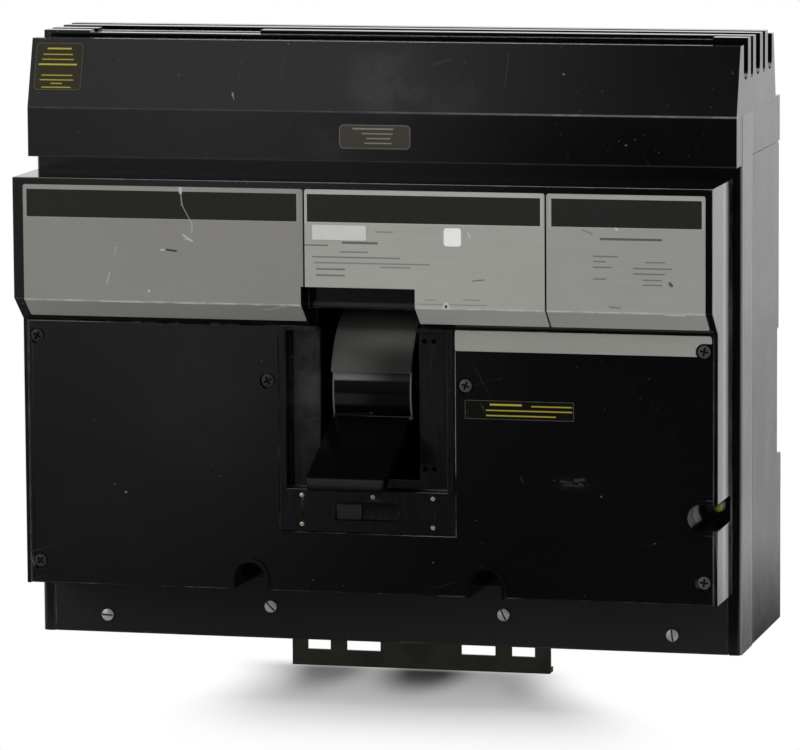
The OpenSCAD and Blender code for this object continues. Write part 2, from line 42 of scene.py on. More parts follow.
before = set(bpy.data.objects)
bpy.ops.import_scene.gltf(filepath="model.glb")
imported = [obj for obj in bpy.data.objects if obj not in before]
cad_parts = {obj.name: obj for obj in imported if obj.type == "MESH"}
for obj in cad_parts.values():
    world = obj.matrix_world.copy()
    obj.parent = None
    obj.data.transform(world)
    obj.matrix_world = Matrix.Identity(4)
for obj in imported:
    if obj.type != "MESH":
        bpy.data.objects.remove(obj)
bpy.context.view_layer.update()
MM = 0.001
WHITE = (1.0, 1.0, 1.0, 1.0)
BLACK = (0.0, 0.0, 0.0, 1.0)
FLAT_ANGLE = math.radians(0.5)
ROUND_ANGLE = math.radians(14.0)
BEND_ANGLE = math.radians(25.0)
SHARP_ANGLE = math.radians(50.0)
MANY_CORNERS = 24
SENSOR = 36.0
PICTURE_WIDTH, PICTURE_HEIGHT = 800.0, 750.0
TARGET_PIXEL = (390.0, 368.7)


def low(node):
    """Lowest corner of a CAD node, in metres."""
    return np.array(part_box(node)[0])


def high(node):
    """Highest corner of a CAD node, in metres."""
    return np.array(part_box(node)[1])


CASE_BOTTOM = float(low("base_case")[2])
FLOOR = float(low("mounting_bracket")[2])
PLATE_FACE = float(low("handle_escutcheon")[1])
LABEL_FACE = float(low("left_label_plate")[1])
SKIRT_FACE = float(low("jaw_hood")[1])
PIVOT = ((low("handle_shaft") + high("handle_shaft")) / 2).tolist()


def up(height):
    """Height above the case bottom, in millimetres, as Z in the row frame."""
    return CASE_BOTTOM + height * MM


# Sizes and colours


def length(name, description, default):
    """A length in metres for a property group."""
    return bpy.props.FloatProperty(
        name=name, description=description, default=default, min=0.0, precision=5, subtype="DISTANCE", unit="LENGTH"
    )


def share(name, description, default, most=1.0):
    """A plain number from nought upwards for a property group."""
    return bpy.props.FloatProperty(name=name, description=description, default=default, min=0.0, max=most)


def tone(name, description, default):
    """A linear colour for a property group."""
    return bpy.props.FloatVectorProperty(
        name=name, description=description, default=default, size=3, min=0.0, max=1.0, subtype="COLOR"
    )


class BreakerSizes(bpy.types.PropertyGroup):
    """Sizes of the roundings and of the small parts."""

    edge: length("Moulded edge", "Width of the rounding along the mouldings' edges", 0.9 * MM)
    steel_edge: length("Steel edge", "Width of the rounding along the bracket's edges", 0.4 * MM)
    sheet_edge: length("Plate edge", "Width of the rounding along the label plates' edges", 0.15 * MM)
    cross_length: length("Cross length", "Length of the cross in an access cover screw", 4.6 * MM)
    cross_width: length("Cross width", "Width of the cross in an access cover screw", 1.25 * MM)
    slot_width: length("Slot width", "Width of the slot in a terminal cover screw", 1.0 * MM)
    recess: length("Recess depth", "Depth of the cross or slot in a screw head", 0.9 * MM)
    sticker: length("Sticker thickness", "Thickness of the blank stickers", 0.18 * MM)
    peg: length("Peg radius", "Radius of the peg in the side notch", 1.65 * MM)


class BreakerColours(bpy.types.PropertyGroup):
    """Colours and gloss of the finishes."""

    case: tone("Case", "Colour of the case mouldings", (0.003, 0.003, 0.0034))
    cover: tone("Cover", "Colour of the front mouldings", (0.0025, 0.0025, 0.0028))
    terminal: tone("Terminal cover", "Colour of the terminal cover", (0.0078, 0.007, 0.0071))
    worn: tone("Worn edge", "Colour of rubbed moulding edges", (0.12, 0.12, 0.128))
    dust: tone("Dust", "Colour of dust and fine scratches on the mouldings", (0.34, 0.34, 0.35))
    handle: tone("Handle", "Colour of the handle", (0.0018, 0.0018, 0.002))
    apron: tone("Apron", "Colour of the dull film on the handle's apron", (0.098, 0.098, 0.092))
    haze: tone("Haze", "Colour of the thin film of dirt on the mouldings", (0.013, 0.0115, 0.0095))
    gloss: share("Moulding roughness", "Roughness of the mouldings", 0.075)
    left_label: tone("Left plate", "Colour of the left label plate", (0.292, 0.287, 0.264))
    center_label: tone("Centre plate", "Colour of the centre label plate", (0.447, 0.441, 0.409))
    right_label: tone("Right plate", "Colour of the right label plate", (0.395, 0.389, 0.362))
    strip: tone("Strip", "Colour of the strip on the access cover", (0.41, 0.404, 0.372))
    band: tone("Band", "Colour of the dark bands on the plates", (0.015, 0.0143, 0.013))
    bracket: tone("Bracket", "Colour of the bracket's plated steel", (0.128, 0.12, 0.086))
    dark_screw: tone("Dark screw", "Colour of the access cover screws", (0.09, 0.087, 0.078))
    bright_screw: tone("Bright screw", "Colour of the terminal cover screws", (0.66, 0.655, 0.64))
    brass: tone("Brass", "Colour of the inserts", (0.78, 0.72, 0.5))
    copper: tone("Copper", "Colour of the line jaws", (0.6, 0.32, 0.19))
    alloy: tone("Alloy", "Colour of the load lugs", (0.62, 0.63, 0.64))
    steel: tone("Steel", "Colour of the pivot shaft", (0.46, 0.47, 0.48))
    slide: tone("Slide", "Colour of the window slide", (0.0145, 0.0145, 0.015))
    paper: tone("Paper", "Colour of the white stickers", (0.66, 0.66, 0.645))
    film: tone("Film", "Colour of the dark sticker on the access cover", (0.005, 0.0048, 0.003))
    hood_film: tone("Hood film", "Colour of the dark sticker on the hood", (0.022, 0.019, 0.0075))
    skirt_film: tone("Skirt film", "Colour of the dark sticker on the hood's skirt", (0.072, 0.062, 0.051))
    rule: tone("Rule", "Colour of the thin yellow rules on a dark sticker", (0.5, 0.43, 0.05))
    pale_rule: tone("Pale rule", "Colour of the thin pale rules on a dark sticker", (0.34, 0.33, 0.3))
    rim: tone("Rim", "Colour of the thin rule round a dark sticker", (0.12, 0.118, 0.1))
    peg: tone("Peg", "Colour of the peg in the side notch", (0.15, 0.175, 0.009))


class BreakerStage(bpy.types.PropertyGroup):
    """Camera, floor and light."""

    lens: bpy.props.FloatProperty(name="Lens", description="Focal length in millimetres", default=257.02, min=1.0)
    azimuth: share("Azimuth", "Degrees of the camera to the right of straight ahead", 14.01, 360.0)
    elevation: share("Elevation", "Degrees of the camera above level", 7.60, 90.0)
    roll: share("Roll", "Degrees that the camera leans clockwise", 0.40, 90.0)
    distance: length("Distance", "Distance from the camera to its target", 3.0663)
    floor: tone("Floor", "Colour of the floor", (0.92, 0.92, 0.92))
    shadow: share("Shadow lift", "Share of plain white over the shadow under the bracket", 0.3)
    world: share("Room level", "Level of the light from the whole room", 0.62, 10.0)
    panel: share("Panel level", "Level of the pale panel that the fronts reflect", 0.62, 10.0)
    top_lamp: share("Top lamp", "Power of the lamp above, in watts", 16.0, 1000.0)
    side_lamp: share("Front lamp", "Power of the lamp at the front left, in watts", 9.0, 1000.0)


# Shader wiring


class Wire:
    """One shader socket: arithmetic with wires or numbers adds Math nodes."""

    def __init__(self, board, socket):
        self.board = board
        self.socket = socket

    def maths(self, operation, first, second=0.0, clamp=False):
        settings = {"operation": operation, "use_clamp": clamp}
        return self.board.add("ShaderNodeMath", settings, {0: first, 1: second})[0]

    def __add__(self, other):
        return self.maths("ADD", self, other)

    def __radd__(self, other):
        return self.maths("ADD", other, self)

    def __sub__(self, other):
        return self.maths("SUBTRACT", self, other)

    def __rsub__(self, other):
        return self.maths("SUBTRACT", other, self)

    def __mul__(self, other):
        return self.maths("MULTIPLY", self, other)

    def __rmul__(self, other):
        return self.maths("MULTIPLY", other, self)

    def __truediv__(self, other):
        return self.maths("DIVIDE", self, other)

    def __pow__(self, other):
        return self.maths("POWER", self, other)

    def __abs__(self):
        return self.maths("ABSOLUTE", self)

    def clip(self):
        """The value held between 0 and 1."""
        return self.maths("ADD", self, 0.0, True)

    def most(self, other):
        """The larger of two values."""
        return self.maths("MAXIMUM", self, other)

    def above(self, start, end):
        """0 below start, 1 above end, smooth between."""
        return self.board.add(
            "ShaderNodeMapRange",
            {"interpolation_type": "SMOOTHSTEP"},
            {"Value": self, "From Min": start, "From Max": end, "To Min": 0.0, "To Max": 1.0},
        )["Result"]

    def between(self, start, end, soft):
        """1 inside start to end, 0 outside, with soft borders."""
        return self.above(start - soft, start + soft) * (1.0 - self.above(end - soft, end + soft))


class Outputs:
    """Outputs of a node, by name or place, as wires."""

    def __init__(self, board, node):
        self.board = board
        self.node = node

    def __getitem__(self, key):
        return Wire(self.board, self.node.outputs[key])


class Board:
    """Node tree of one material or of the world."""

    def __init__(self, tree):
        self.tree = tree
        tree.nodes.clear()

    def add(self, kind, settings=None, inputs=None):
        """Adds a node: its settings first, then the values or links of its inputs."""
        node = self.tree.nodes.new(kind)
        for key, value in (settings or {}).items():
            setattr(node, key, value)
        for key, value in (inputs or {}).items():
            socket = node.inputs[key]
            if isinstance(value, Wire):
                self.tree.links.new(value.socket, socket)
            else:
                socket.default_value = value
        return Outputs(self, node)

    def place(self):
        """Object coordinates in metres."""
        return self.add("ShaderNodeTexCoord")["Object"]

    def axes(self):
        """X, Y and Z of the object coordinates."""
        parts = self.add("ShaderNodeSeparateXYZ", None, {0: self.place()})
        return parts["X"], parts["Y"], parts["Z"]

    def stretched(self, scale, turn=(0.0, 0.0, 0.0)):
        """Object coordinates turned, then scaled along each axis."""
        inputs = {"Vector": self.place(), "Rotation": turn}
        turned = self.add("ShaderNodeMapping", {"vector_type": "POINT"}, inputs)["Vector"]
        return self.add("ShaderNodeVectorMath", {"operation": "MULTIPLY"}, {0: turned, 1: scale})["Vector"]

    def noise(self, scale, detail=2.0, rough=0.5, vector=None, offset=0.0):
        """Fractal noise about 0.5; offset moves it to another part of the pattern."""
        vector = vector or self.place()
        if offset:
            inputs = {0: vector, 1: (offset, offset, offset)}
            vector = self.add("ShaderNodeVectorMath", {"operation": "ADD"}, inputs)["Vector"]
        return self.add(
            "ShaderNodeTexNoise", None, {"Vector": vector, "Scale": scale, "Detail": detail, "Roughness": rough}
        )["Fac"]

    def specks(self, scale, size, share_kept):
        """Small round dots, one in each kept cell of a Voronoi pattern."""
        cell = self.add("ShaderNodeTexVoronoi", {"feature": "F1"}, {"Vector": self.place(), "Scale": scale})
        kept = self.add("ShaderNodeSeparateColor", None, {0: cell["Color"]})["Red"].above(1.0 - share_kept, 1.0)
        return (1.0 - cell["Distance"].above(size * 0.5, size)) * kept

    def facing(self):
        """X, Y and Z of the surface's normal."""
        parts = self.add("ShaderNodeSeparateXYZ", None, {0: self.add("ShaderNodeNewGeometry")["Normal"]})
        return parts["X"], parts["Y"], parts["Z"]

    def stroke(self, x, z, start, end, width):
        """Straight stroke between two points, each X and height above the case bottom, all in millimetres.

        1 where the distance to the segment is under about half the width, 0 beyond.
        """
        x0, z0, x1, z1 = start[0] * MM, up(start[1]), end[0] * MM, up(end[1])
        dx, dz = x1 - x0, z1 - z0
        u, v = x - x0, z - z0
        along = ((u * dx + v * dz) / max(dx * dx + dz * dz, 1e-10)).clip()
        across, rise = u - along * dx, v - along * dz
        return 1.0 - ((across * across + rise * rise) ** 0.5).above(width * 0.3 * MM, width * 0.7 * MM)

    def mix(self, factor, first, second):
        """Colour between first and second."""
        return self.add(
            "ShaderNodeMix", {"data_type": "RGBA", "blend_type": "MIX"}, {0: factor, 6: first, 7: second}
        )[2]

    def bump(self, height, strength, distance):
        """Normal bent by a height in metres."""
        inputs = {"Height": height, "Strength": strength, "Distance": distance}
        return self.add("ShaderNodeBump", None, inputs)["Normal"]

    def surface(self, **inputs):
        """Principled shader to the output; names use _ for a space."""
        values = {key.replace("_", " "): value for key, value in inputs.items()}
        shader = self.add("ShaderNodeBsdfPrincipled", None, values)
        self.add("ShaderNodeOutputMaterial", None, {"Surface": shader["BSDF"]})
        return shader


def rgba(colour):
    """Linear colour with full alpha."""
    return (*colour[:3], 1.0)


def new_board(name):
    """A new material and the board of its node tree."""
    material = bpy.data.materials.new(name)
    material.use_nodes = True
    return material, Board(material.node_tree)


# Finishes


def moulding_finish(
    name, colour, colours, gloss, dusty=1.0, wear=1.0, hazy=0.15, waves=0.0, spots=(), crease_glints=(), scars=(), lift=None,
    side_dust_and_sheen=(), shaded_pits=(),
):
    """Black moulded plastic: cloudy gloss, dirt film, dust specks, hairline scratches, streaked sides and rubbed edges.

    Spots are soft smudges (X, height, half width, half height, strength); crease_glints are painted highlights along
    creases (height, half width, strength at the left, strength at the right); scars are strokes (start, end, width,
    strength) on the front; lift is a lighter copy of the colour that the right side fades to, painted light from the
    right; side_dust_and_sheen are zones of the outer sides with dust and a painted sheen (start and end behind the
    escutcheon's face, strength); shaded_pits are holes painted black as painted shade (X, height, radius); lengths are
    in millimetres.
    """
    material, board = new_board(name)
    x, y, z = board.axes()
    edge = board.add("ShaderNodeAttribute", {"attribute_name": "edge"})["Fac"]
    side = abs(board.facing()[0]).above(0.6, 0.9) * abs(x).above(0.09, 0.1)
    cloud = board.noise(9.0, 4.0, 0.55)
    film = board.noise(7.0, 4.0, 0.6, None, 6.1).above(0.45, 0.75)
    smear = board.noise(1.0, 3.0, 0.6, board.stretched((60.0, 14.0, 14.0), (0.0, 0.35, 0.0)))
    streak = board.noise(1.0, 4.0, 0.65, board.stretched((170.0, 170.0, 9.0)))
    blotch = board.noise(34.0, 5.0, 0.7, None, 2.9)
    fine = board.noise(1900.0, 1.0, 0.5)
    wave = board.noise(1.0, 3.0, 0.55, board.stretched((240.0, 100.0, 60.0)), 8.3)
    specks = board.specks(110.0, 0.05, 0.3) + board.specks(240.0, 0.075, 0.22) * 0.7
    specks = specks + board.specks(520.0, 0.12, 0.1) * 0.5
    hair = board.noise(1.0, 2.0, 0.5, board.stretched((260.0, 8.0, 6.0), (0.0, 0.5, 0.0)))
    cross_hair = board.noise(1.0, 2.0, 0.5, board.stretched((7.0, 8.0, 330.0), (0.0, 0.3, 0.0)), 3.7)
    patch = board.noise(17.0, 2.0, 0.5, None, 1.3).above(0.52, 0.68)
    scratches = (hair.above(0.7, 0.76) + cross_hair.above(0.71, 0.77)) * patch
    chips = board.noise(70.0, 5.0, 0.7).above(0.46, 0.66)
    worn = (edge * (0.1 + chips * 0.9) * wear).clip()
    marks = (specks * (0.5 * dusty) + scratches * (0.025 * dusty)).clip()
    dirt = (film * hazy).clip()
    smudge = dirt * 0.0
    for spot_x, height, half_x, half_z, strength in spots:
        u, v = (x - spot_x * MM) / (half_x * MM), (z - up(height)) / (half_z * MM)
        round_spot = 1.0 - ((u * u + v * v) ** 0.5).above(0.2, 1.0)
        smudge = smudge + round_spot * (0.2 + blotch.above(0.4, 0.6) * 0.8) * strength
    base = rgba(colour)
    # painted light: the right side fades to lift, a lighter copy of the colour
    if lift:
        base = board.mix(x.above(-0.06, 0.06), base, rgba(lift))
    base = board.mix(dirt, base, rgba(colours.haze))
    base = board.mix(smudge.clip(), base, rgba(colours.dust))
    base = board.mix(side * (streak.above(0.4, 0.7) * 0.2 + blotch.above(0.4, 0.65) * 0.1), base, rgba(colours.dust))
    base = board.mix(marks, base, rgba(colours.dust))
    base = board.mix(worn * 0.8, base, rgba(colours.worn))
    # crease_glints: painted highlights along creases, stronger towards the right, in the dust colour
    for height, half, first, last in crease_glints:
        ahead = 1.0 - y.above(SKIRT_FACE + 4.0 * MM, SKIRT_FACE + 6.0 * MM)
        line = z.between(up(height - half), up(height + half), 0.2 * MM) * ahead
        line = line * (first + x.above(-0.05, 0.11) * (last - first)) * (0.7 + chips * 0.4)
        base = board.mix(line.clip(), base, rgba(colours.dust))
    # painted sheen on the outer sides in place of their reflection, mixed with dust streaks, stronger low down
    for start, end, strength in side_dust_and_sheen:
        dust_and_sheen_zone = side * (y - PLATE_FACE).between(start * MM, end * MM, 4.0 * MM)
        dust_and_sheen_zone = dust_and_sheen_zone * (1.8 - z.above(up(35.0), up(100.0)) * 0.8)
        dust_and_sheen_zone = (dust_and_sheen_zone * strength * (0.75 + streak * 0.5)).clip()
        base = board.mix(dust_and_sheen_zone, base, rgba([c * 1.5 for c in colours.dust]))
    # painted shade: the holes are painted black and made rough
    pit_shade = dirt * 0.0
    for pit_x, height, radius in shaded_pits:
        u, v = x - pit_x * MM, z - up(height)
        pit_shade = pit_shade + 1.0 - ((u * u + v * v) ** 0.5).above((radius - 0.2) * MM, (radius + 0.1) * MM)
    base = board.mix(pit_shade.clip(), base, BLACK)
    front = 1.0 - board.facing()[1].above(-0.8, -0.6)
    for start, end, wide, strength in scars:
        base = board.mix(board.stroke(x, z, start, end, wide) * front * strength, base, rgba(colours.dust))
    rough = gloss + (cloud - 0.5) * 0.04 + smear.above(0.55, 0.8) * 0.03
    rough = rough + smudge * 0.6 + marks * 0.3 + worn * 0.25 + pit_shade
    rough = rough + side * (streak - 0.4) * 0.25
    board.surface(
        Base_Color=base,
        Roughness=rough.clip(),
        IOR=1.5,
        Normal=board.bump(fine * 0.5 + cloud * 0.5 + wave * waves, 0.05, 0.0004),
    )
    return material


def handle_finish(name, colours, gloss):
    """Handle: very dark gloss, a dull grey film over the apron and the hub's top, painted highlights on the hub's rims,
    lip and root, a painted glint and rubbed edges.

    The film covers the drum's surface, by its distance from the pivot, above a level line; painted shade darkens it
    towards the right and painted light brightens its upper part and the hub's top.
    """
    material, board = new_board(name)
    x, y, z = board.axes()
    edge = board.add("ShaderNodeAttribute", {"attribute_name": "edge"})["Fac"]
    out, rise = y - PIVOT[1], z - PIVOT[2]
    reach = (out * out + rise * rise) ** 0.5
    drum = reach.between(36.9 * MM, 42.0 * MM, 0.2 * MM) * (1.0 - out.above(-1.0 * MM, 0.0))
    grain = board.noise(900.0, 2.0, 0.6)
    blotch = board.noise(70.0, 4.0, 0.6)
    chips = board.noise(110.0, 5.0, 0.7).above(0.45, 0.65)
    film = drum * rise.above(5.3 * MM, 6.5 * MM)
    under = 1.0 - rise.above(9.6 * MM, 10.2 * MM)
    # painted shade darkens the film towards the right; bright is painted light on its upper part and the hub's top
    shade = x.above(-0.016, 0.014) * (1.0 - rise.above(15.0 * MM, 28.0 * MM)) * (0.88 + under * 0.1)
    bright = rise.above(19.0 * MM, 30.0 * MM) * (1.0 - rise.above(29.5 * MM, 33.0 * MM)) * 0.5 + under * 0.6
    tint = board.mix(bright, rgba(colours.apron), rgba([c * 2.9 for c in colours.apron]))
    tint = board.mix(shade, tint, rgba([c * 0.12 for c in colours.apron]))
    mottle = (blotch - 0.3).clip() * 0.4 + (grain - 0.4).clip() * 0.4
    tint = board.mix(mottle, tint, rgba([c * 0.5 for c in colours.apron]))
    base = board.mix(film, rgba(colours.handle), tint)
    # painted highlight just below the pivot, weaker to the right
    glint = drum * rise.between(-7.0 * MM, -1.0 * MM, 1.0 * MM) * (1.0 - x.above(-0.012, 0.004) * 0.75)
    base = board.mix(glint * 0.2, base, rgba(colours.apron))
    # painted highlights along the hub's rims, the lip and the paddle's root
    rim_highlights = drum * abs(x).above(20.2 * MM, 20.5 * MM) * rise.between(-14.0 * MM, 10.5 * MM, 0.4 * MM)
    lip_highlight = drum * rise.between(9.6 * MM, 11.0 * MM, 0.3 * MM)
    root_highlight = reach.between(36.0 * MM, 40.5 * MM, 0.3 * MM) * rise.between(-14.6 * MM, -12.6 * MM, 0.2 * MM)
    root_highlight = root_highlight * (1.0 - out.above(-20.0 * MM, -18.0 * MM))
    edge_highlights = (rim_highlights * 0.8 + lip_highlight * edge * 0.8 + root_highlight * (0.15 + x.above(-0.01, 0.0) * 0.35)).clip()
    base = board.mix(edge_highlights, base, rgba([c * 1.7 for c in colours.apron]))
    base = board.mix(edge * (0.06 + chips * 0.9) * 0.55 * (1.0 - drum), base, rgba(colours.worn))
    tip = 1.0 - out.above(-0.0975, -0.0955)
    base = board.mix(edge * tip * (0.25 + chips * 0.75), base, rgba(colours.worn))
    base = board.mix(tip * (0.9 - edge * chips * 0.6), base, rgba([c * 0.25 for c in colours.apron]))
    base = board.mix(board.specks(170.0, 0.06, 0.22) * 0.4, base, rgba(colours.dust))
    board.surface(
        Base_Color=base,
        Roughness=(gloss + film * 0.4 + (blotch - 0.5) * 0.08).clip(),
        IOR=1.22,
        Normal=board.bump(grain * (0.3 + film * 2.0) + blotch * 0.3, 0.06, 0.0003),
    )
    return material


def plate_finish(name, colour, colours, band, rules, strokes):
    """Satin grey plate: dark band in a pale margin, faint rules, a painted highlight along the bend, fine grain, stains
    and scratches.
    """
    material, board = new_board(name)
    x, y, z = board.axes()
    pale_tone, mark_tone = (0.72, 0.72, 0.71, 1.0), (0.01, 0.01, 0.01, 1.0)
    edge = board.add("ShaderNodeAttribute", {"attribute_name": "edge"})["Fac"]
    grain = board.noise(1.0, 3.0, 0.6, board.stretched((18.0, 900.0, 900.0)))
    stain = board.noise(24.0, 4.0, 0.6)
    hair = board.noise(1.0, 2.0, 0.5, board.stretched((420.0, 12.0, 16.0), (0.0, 0.7, 0.0)))
    flat = board.noise(1.0, 2.0, 0.5, board.stretched((14.0, 12.0, 520.0), (0.0, 0.12, 0.0)), 2.1)
    patch = board.noise(30.0, 2.0, 0.5, None, 4.4).above(0.55, 0.7)
    nicks = ((hair.above(0.72, 0.77) + flat.above(0.72, 0.77)) * patch).clip()
    dots = board.specks(160.0, 0.06, 0.2)
    rubbed = board.noise(90.0, 4.0, 0.7).above(0.42, 0.62)
    base = board.mix(stain.above(0.35, 0.75) * 0.16, rgba(colour), rgba([c * 0.7 for c in colour]))
    base = board.mix(grain.above(0.3, 0.7) * 0.12, base, rgba([min(1.0, c * 1.35) for c in colour]))
    rough = 0.42 + (grain - 0.5) * 0.12 + (stain - 0.5) * 0.12
    for x0, x1, height, half, weight in rules:
        line = x.between(x0 * MM, x1 * MM, 0.1 * MM) * z.between(up(height - half), up(height + half), 0.15 * MM)
        base = board.mix(line * weight, base, rgba(colours.band))
    if band:
        x0, x1, z0, z1 = band
        pale = x.between((x0 - 1.4) * MM, (x1 + 1.4) * MM, 0.1 * MM) * z.between(up(z0 - 0.5), up(z1 + 2.2), 0.1 * MM)
        dark = x.between(x0 * MM, x1 * MM, 0.06 * MM) * z.between(up(z0), up(z1), 0.06 * MM)
        base = board.mix(pale * 0.4, base, rgba([min(1.0, c * 1.3) for c in colour]))
        base = board.mix(dark * 0.99, base, rgba(colours.band))
        # painted highlight along the plate's bend
        bend_highlight = z.between(up(185.6), up(186.6), 0.3 * MM)
        base = board.mix(bend_highlight * (0.25 + rubbed * 0.45), base, pale_tone)
    for start, end, wide, strength in strokes:
        line = board.stroke(x, z, start, end, wide) * abs(strength)
        base = board.mix(line, base, pale_tone if strength > 0.0 else mark_tone)
    base = board.mix((nicks * 0.5 + dots * 0.4).clip(), base, (0.55, 0.55, 0.54, 1.0))
    base = board.mix(edge * rubbed * 0.5, base, pale_tone)
    board.surface(
        Base_Color=base,
        Roughness=rough.clip(),
        Metallic=0.15,
        IOR=1.5,
        Normal=board.bump(grain * 0.6 + nicks * 0.5, 0.12, 0.0001),
    )
    return material


def metal_finish(name, colour, rough, grain_scale=(900.0, 30.0, 30.0), dirt=0.3, metal=1.0, left=None, shade_depth=None):
    """Metal with fine grain, cloudy tarnish and darker dirt in patches.

    Left is a second colour for the left half; what lies behind the Y of shade_depth is painted nearly black and dull,
    as painted shade in the recesses.
    """
    material, board = new_board(name)
    grain = board.noise(1.0, 3.0, 0.6, board.stretched(grain_scale))
    cloud = board.noise(60.0, 4.0, 0.6)
    spot = board.noise(420.0, 3.0, 0.6)
    base = rgba(colour)
    if left:
        base = board.mix(board.axes()[0].above(-0.05, 0.05), rgba(left), base)
    base = board.mix(cloud.above(0.4, 0.75) * dirt, base, rgba([c * 0.35 for c in colour]))
    base = board.mix(spot.above(0.6, 0.75) * dirt * 0.6, base, rgba([c * 0.5 for c in colour]))
    roughness = rough + (grain - 0.5) * 0.15 + (cloud - 0.5) * 0.2
    # painted shade in the recesses behind shade_depth
    if shade_depth:
        recess_shade = board.axes()[1].above(shade_depth, shade_depth + 0.2 * MM)
        base = board.mix(recess_shade, base, rgba([c * 0.04 for c in colour]))
        roughness = roughness + recess_shade
    board.surface(
        Base_Color=base,
        Roughness=roughness.clip(),
        Metallic=metal,
        Normal=board.bump(grain * 0.5 + spot * 0.5, 0.15, 0.00008),
    )
    return material


def sticker_finish(name, colour, box, corner, rim, rim_tone, rules, ink, rough):
    """Blank sticker: plain film with a thin rule inside its edge, a few thin rules in one ink, scuffs and dust.

    The rim follows the distance to a rounded rectangle: the length of the positive parts of |x| - half sizes plus
    corner.
    """
    material, board = new_board(name)
    x, y, z = board.axes()
    x0, x1, z0, z1 = (v * MM for v in box)
    scuff = board.noise(1.0, 3.0, 0.6, board.stretched((240.0, 40.0, 40.0), (0.0, 0.6, 0.0)))
    cloud = board.noise(70.0, 3.0, 0.6)
    base = board.mix(cloud.above(0.35, 0.75) * 0.25, rgba(colour), rgba([c * 0.75 for c in colour]))
    for r0, r1, height, half, weight in rules:
        line = x.between(r0 * MM, r1 * MM, 0.1 * MM) * z.between(up(height - half), up(height + half), 0.12 * MM)
        base = board.mix(line * weight, base, rgba(ink))
    if rim:
        turn = corner * MM
        u = (abs(x - (x0 + x1) / 2) - ((x1 - x0) / 2 - turn)).most(0.0)
        v = (abs(z - (z0 + z1) / 2) - ((z1 - z0) / 2 - turn)).most(0.0)
        out = (u * u + v * v) ** 0.5
        line = out.between(turn - (rim + 0.25) * MM, turn - rim * MM, 0.08 * MM)
        base = board.mix(line * cloud.above(0.2, 0.5) * 0.7, base, rgba(rim_tone))
    dust = scuff.above(0.68, 0.75) * 0.2 + board.specks(200.0, 0.07, 0.25) * 0.4
    base = board.mix(dust, base, (0.35, 0.35, 0.33, 1.0))
    board.surface(
        Base_Color=base,
        Roughness=(rough + (cloud - 0.5) * 0.1).clip(),
        IOR=1.33,
        Normal=board.bump(cloud, 0.05, 0.0002),
    )
    return material


def peg_finish(name, colour):
    """Yellow-green plastic end on a black foot."""
    material, board = new_board(name)
    cloud = board.noise(500.0, 3.0, 0.6)
    base = board.mix(cloud.above(0.35, 0.7) * 0.4, rgba(colour), rgba([c * 0.5 for c in colour]))
    foot = board.axes()[1].above(PLATE_FACE + 20.5 * MM, PLATE_FACE + 22.0 * MM)
    base = board.mix(foot, base, (0.002, 0.002, 0.002, 1.0))
    board.surface(
        Base_Color=base,
        Roughness=(0.4 + (cloud - 0.5) * 0.2).clip(),
        IOR=1.48,
        Normal=board.bump(cloud, 0.05, 0.0002),
    )
    return material


# Meshes


def softened(node, width):
    """A copy of a CAD node with its doubles merged, flat areas joined and sharp edges rounded, long ones first.

    Edges too short for the rounding, as along an arc, stay sharp. Flat faces with many corners, as round a row of
    holes, are shaded flat. The attribute "edge" is 1 on the rounded strips and 0 elsewhere.
    """
    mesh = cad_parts[node].data.copy()
    mesh.materials.clear()
    shape = bmesh.new()
    shape.from_mesh(mesh)
    bmesh.ops.remove_doubles(shape, verts=shape.verts, dist=1e-6)
    bmesh.ops.dissolve_limit(shape, angle_limit=FLAT_ANGLE, verts=shape.verts, edges=shape.edges)
    mark = shape.faces.layers.float.new("edge")
    bent = shape.faces.layers.int.new("bent")
    for e in shape.edges:
        if e.is_manifold and FLAT_ANGLE < e.calc_face_angle(0.0) < BEND_ANGLE:
            for face in e.link_faces:
                face[bent] = 1
    for least in (14.0 * width, 3.5 * width):
        sharp = [
            e for e in shape.edges
            if e.is_manifold and e.calc_length() > least and e.calc_face_angle(0.0) > ROUND_ANGLE
            and not any(f[mark] for f in e.link_faces)
        ]
        made = bmesh.ops.bevel(
            shape, geom=sharp, offset=width, offset_type="OFFSET", segments=2, profile=0.5, affect="EDGES",
            clamp_overlap=True, loop_slide=True,
        )
        for face in made["faces"]:
            face[mark] = 1.0
    smooth = [bool(face[bent] or face[mark] or len(face.verts) < MANY_CORNERS) for face in shape.faces]
    fresh = bpy.data.meshes.new(node + "_soft")
    shape.to_mesh(fresh)
    shape.free()
    fresh.set_sharp_from_angle(angle=SHARP_ANGLE)
    fresh.polygons.foreach_set("use_smooth", smooth)
    bpy.data.meshes.remove(mesh)
    piece = bpy.data.objects.new(node + "_finish", fresh)
    bpy.context.scene.collection.objects.link(piece)
    steady = piece.modifiers.new("Flat faces", "WEIGHTED_NORMAL")
    steady.mode = "FACE_AREA"
    steady.weight = 80
    steady.keep_sharp = True
    return piece


def settle(piece, body, slot, material, *nodes):
    """Gives a piece its material and its body and hides the CAD nodes that it stands for; slot is not used."""
    piece.data.materials.append(material)
    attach(piece, body)
    if nodes:
        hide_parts(*nodes)
    return piece


def dress(node, width, slot, material, body="case"):
    """Puts a softened copy of a CAD node in its place."""
    return settle(softened(node, width), body, slot, material, node)


def grid_faces(rows, columns, wrapped):
    """Quads between neighbouring points of a grid; wrapped joins the last column to the first."""
    i = np.arange(rows - 1)[:, None]
    j = np.arange(columns if wrapped else columns - 1)[None, :]
    a = i * columns + j
    b = i * columns + (j + 1) % columns
    return np.stack([a, b, b + columns, a + columns], -1).reshape(-1, 4)


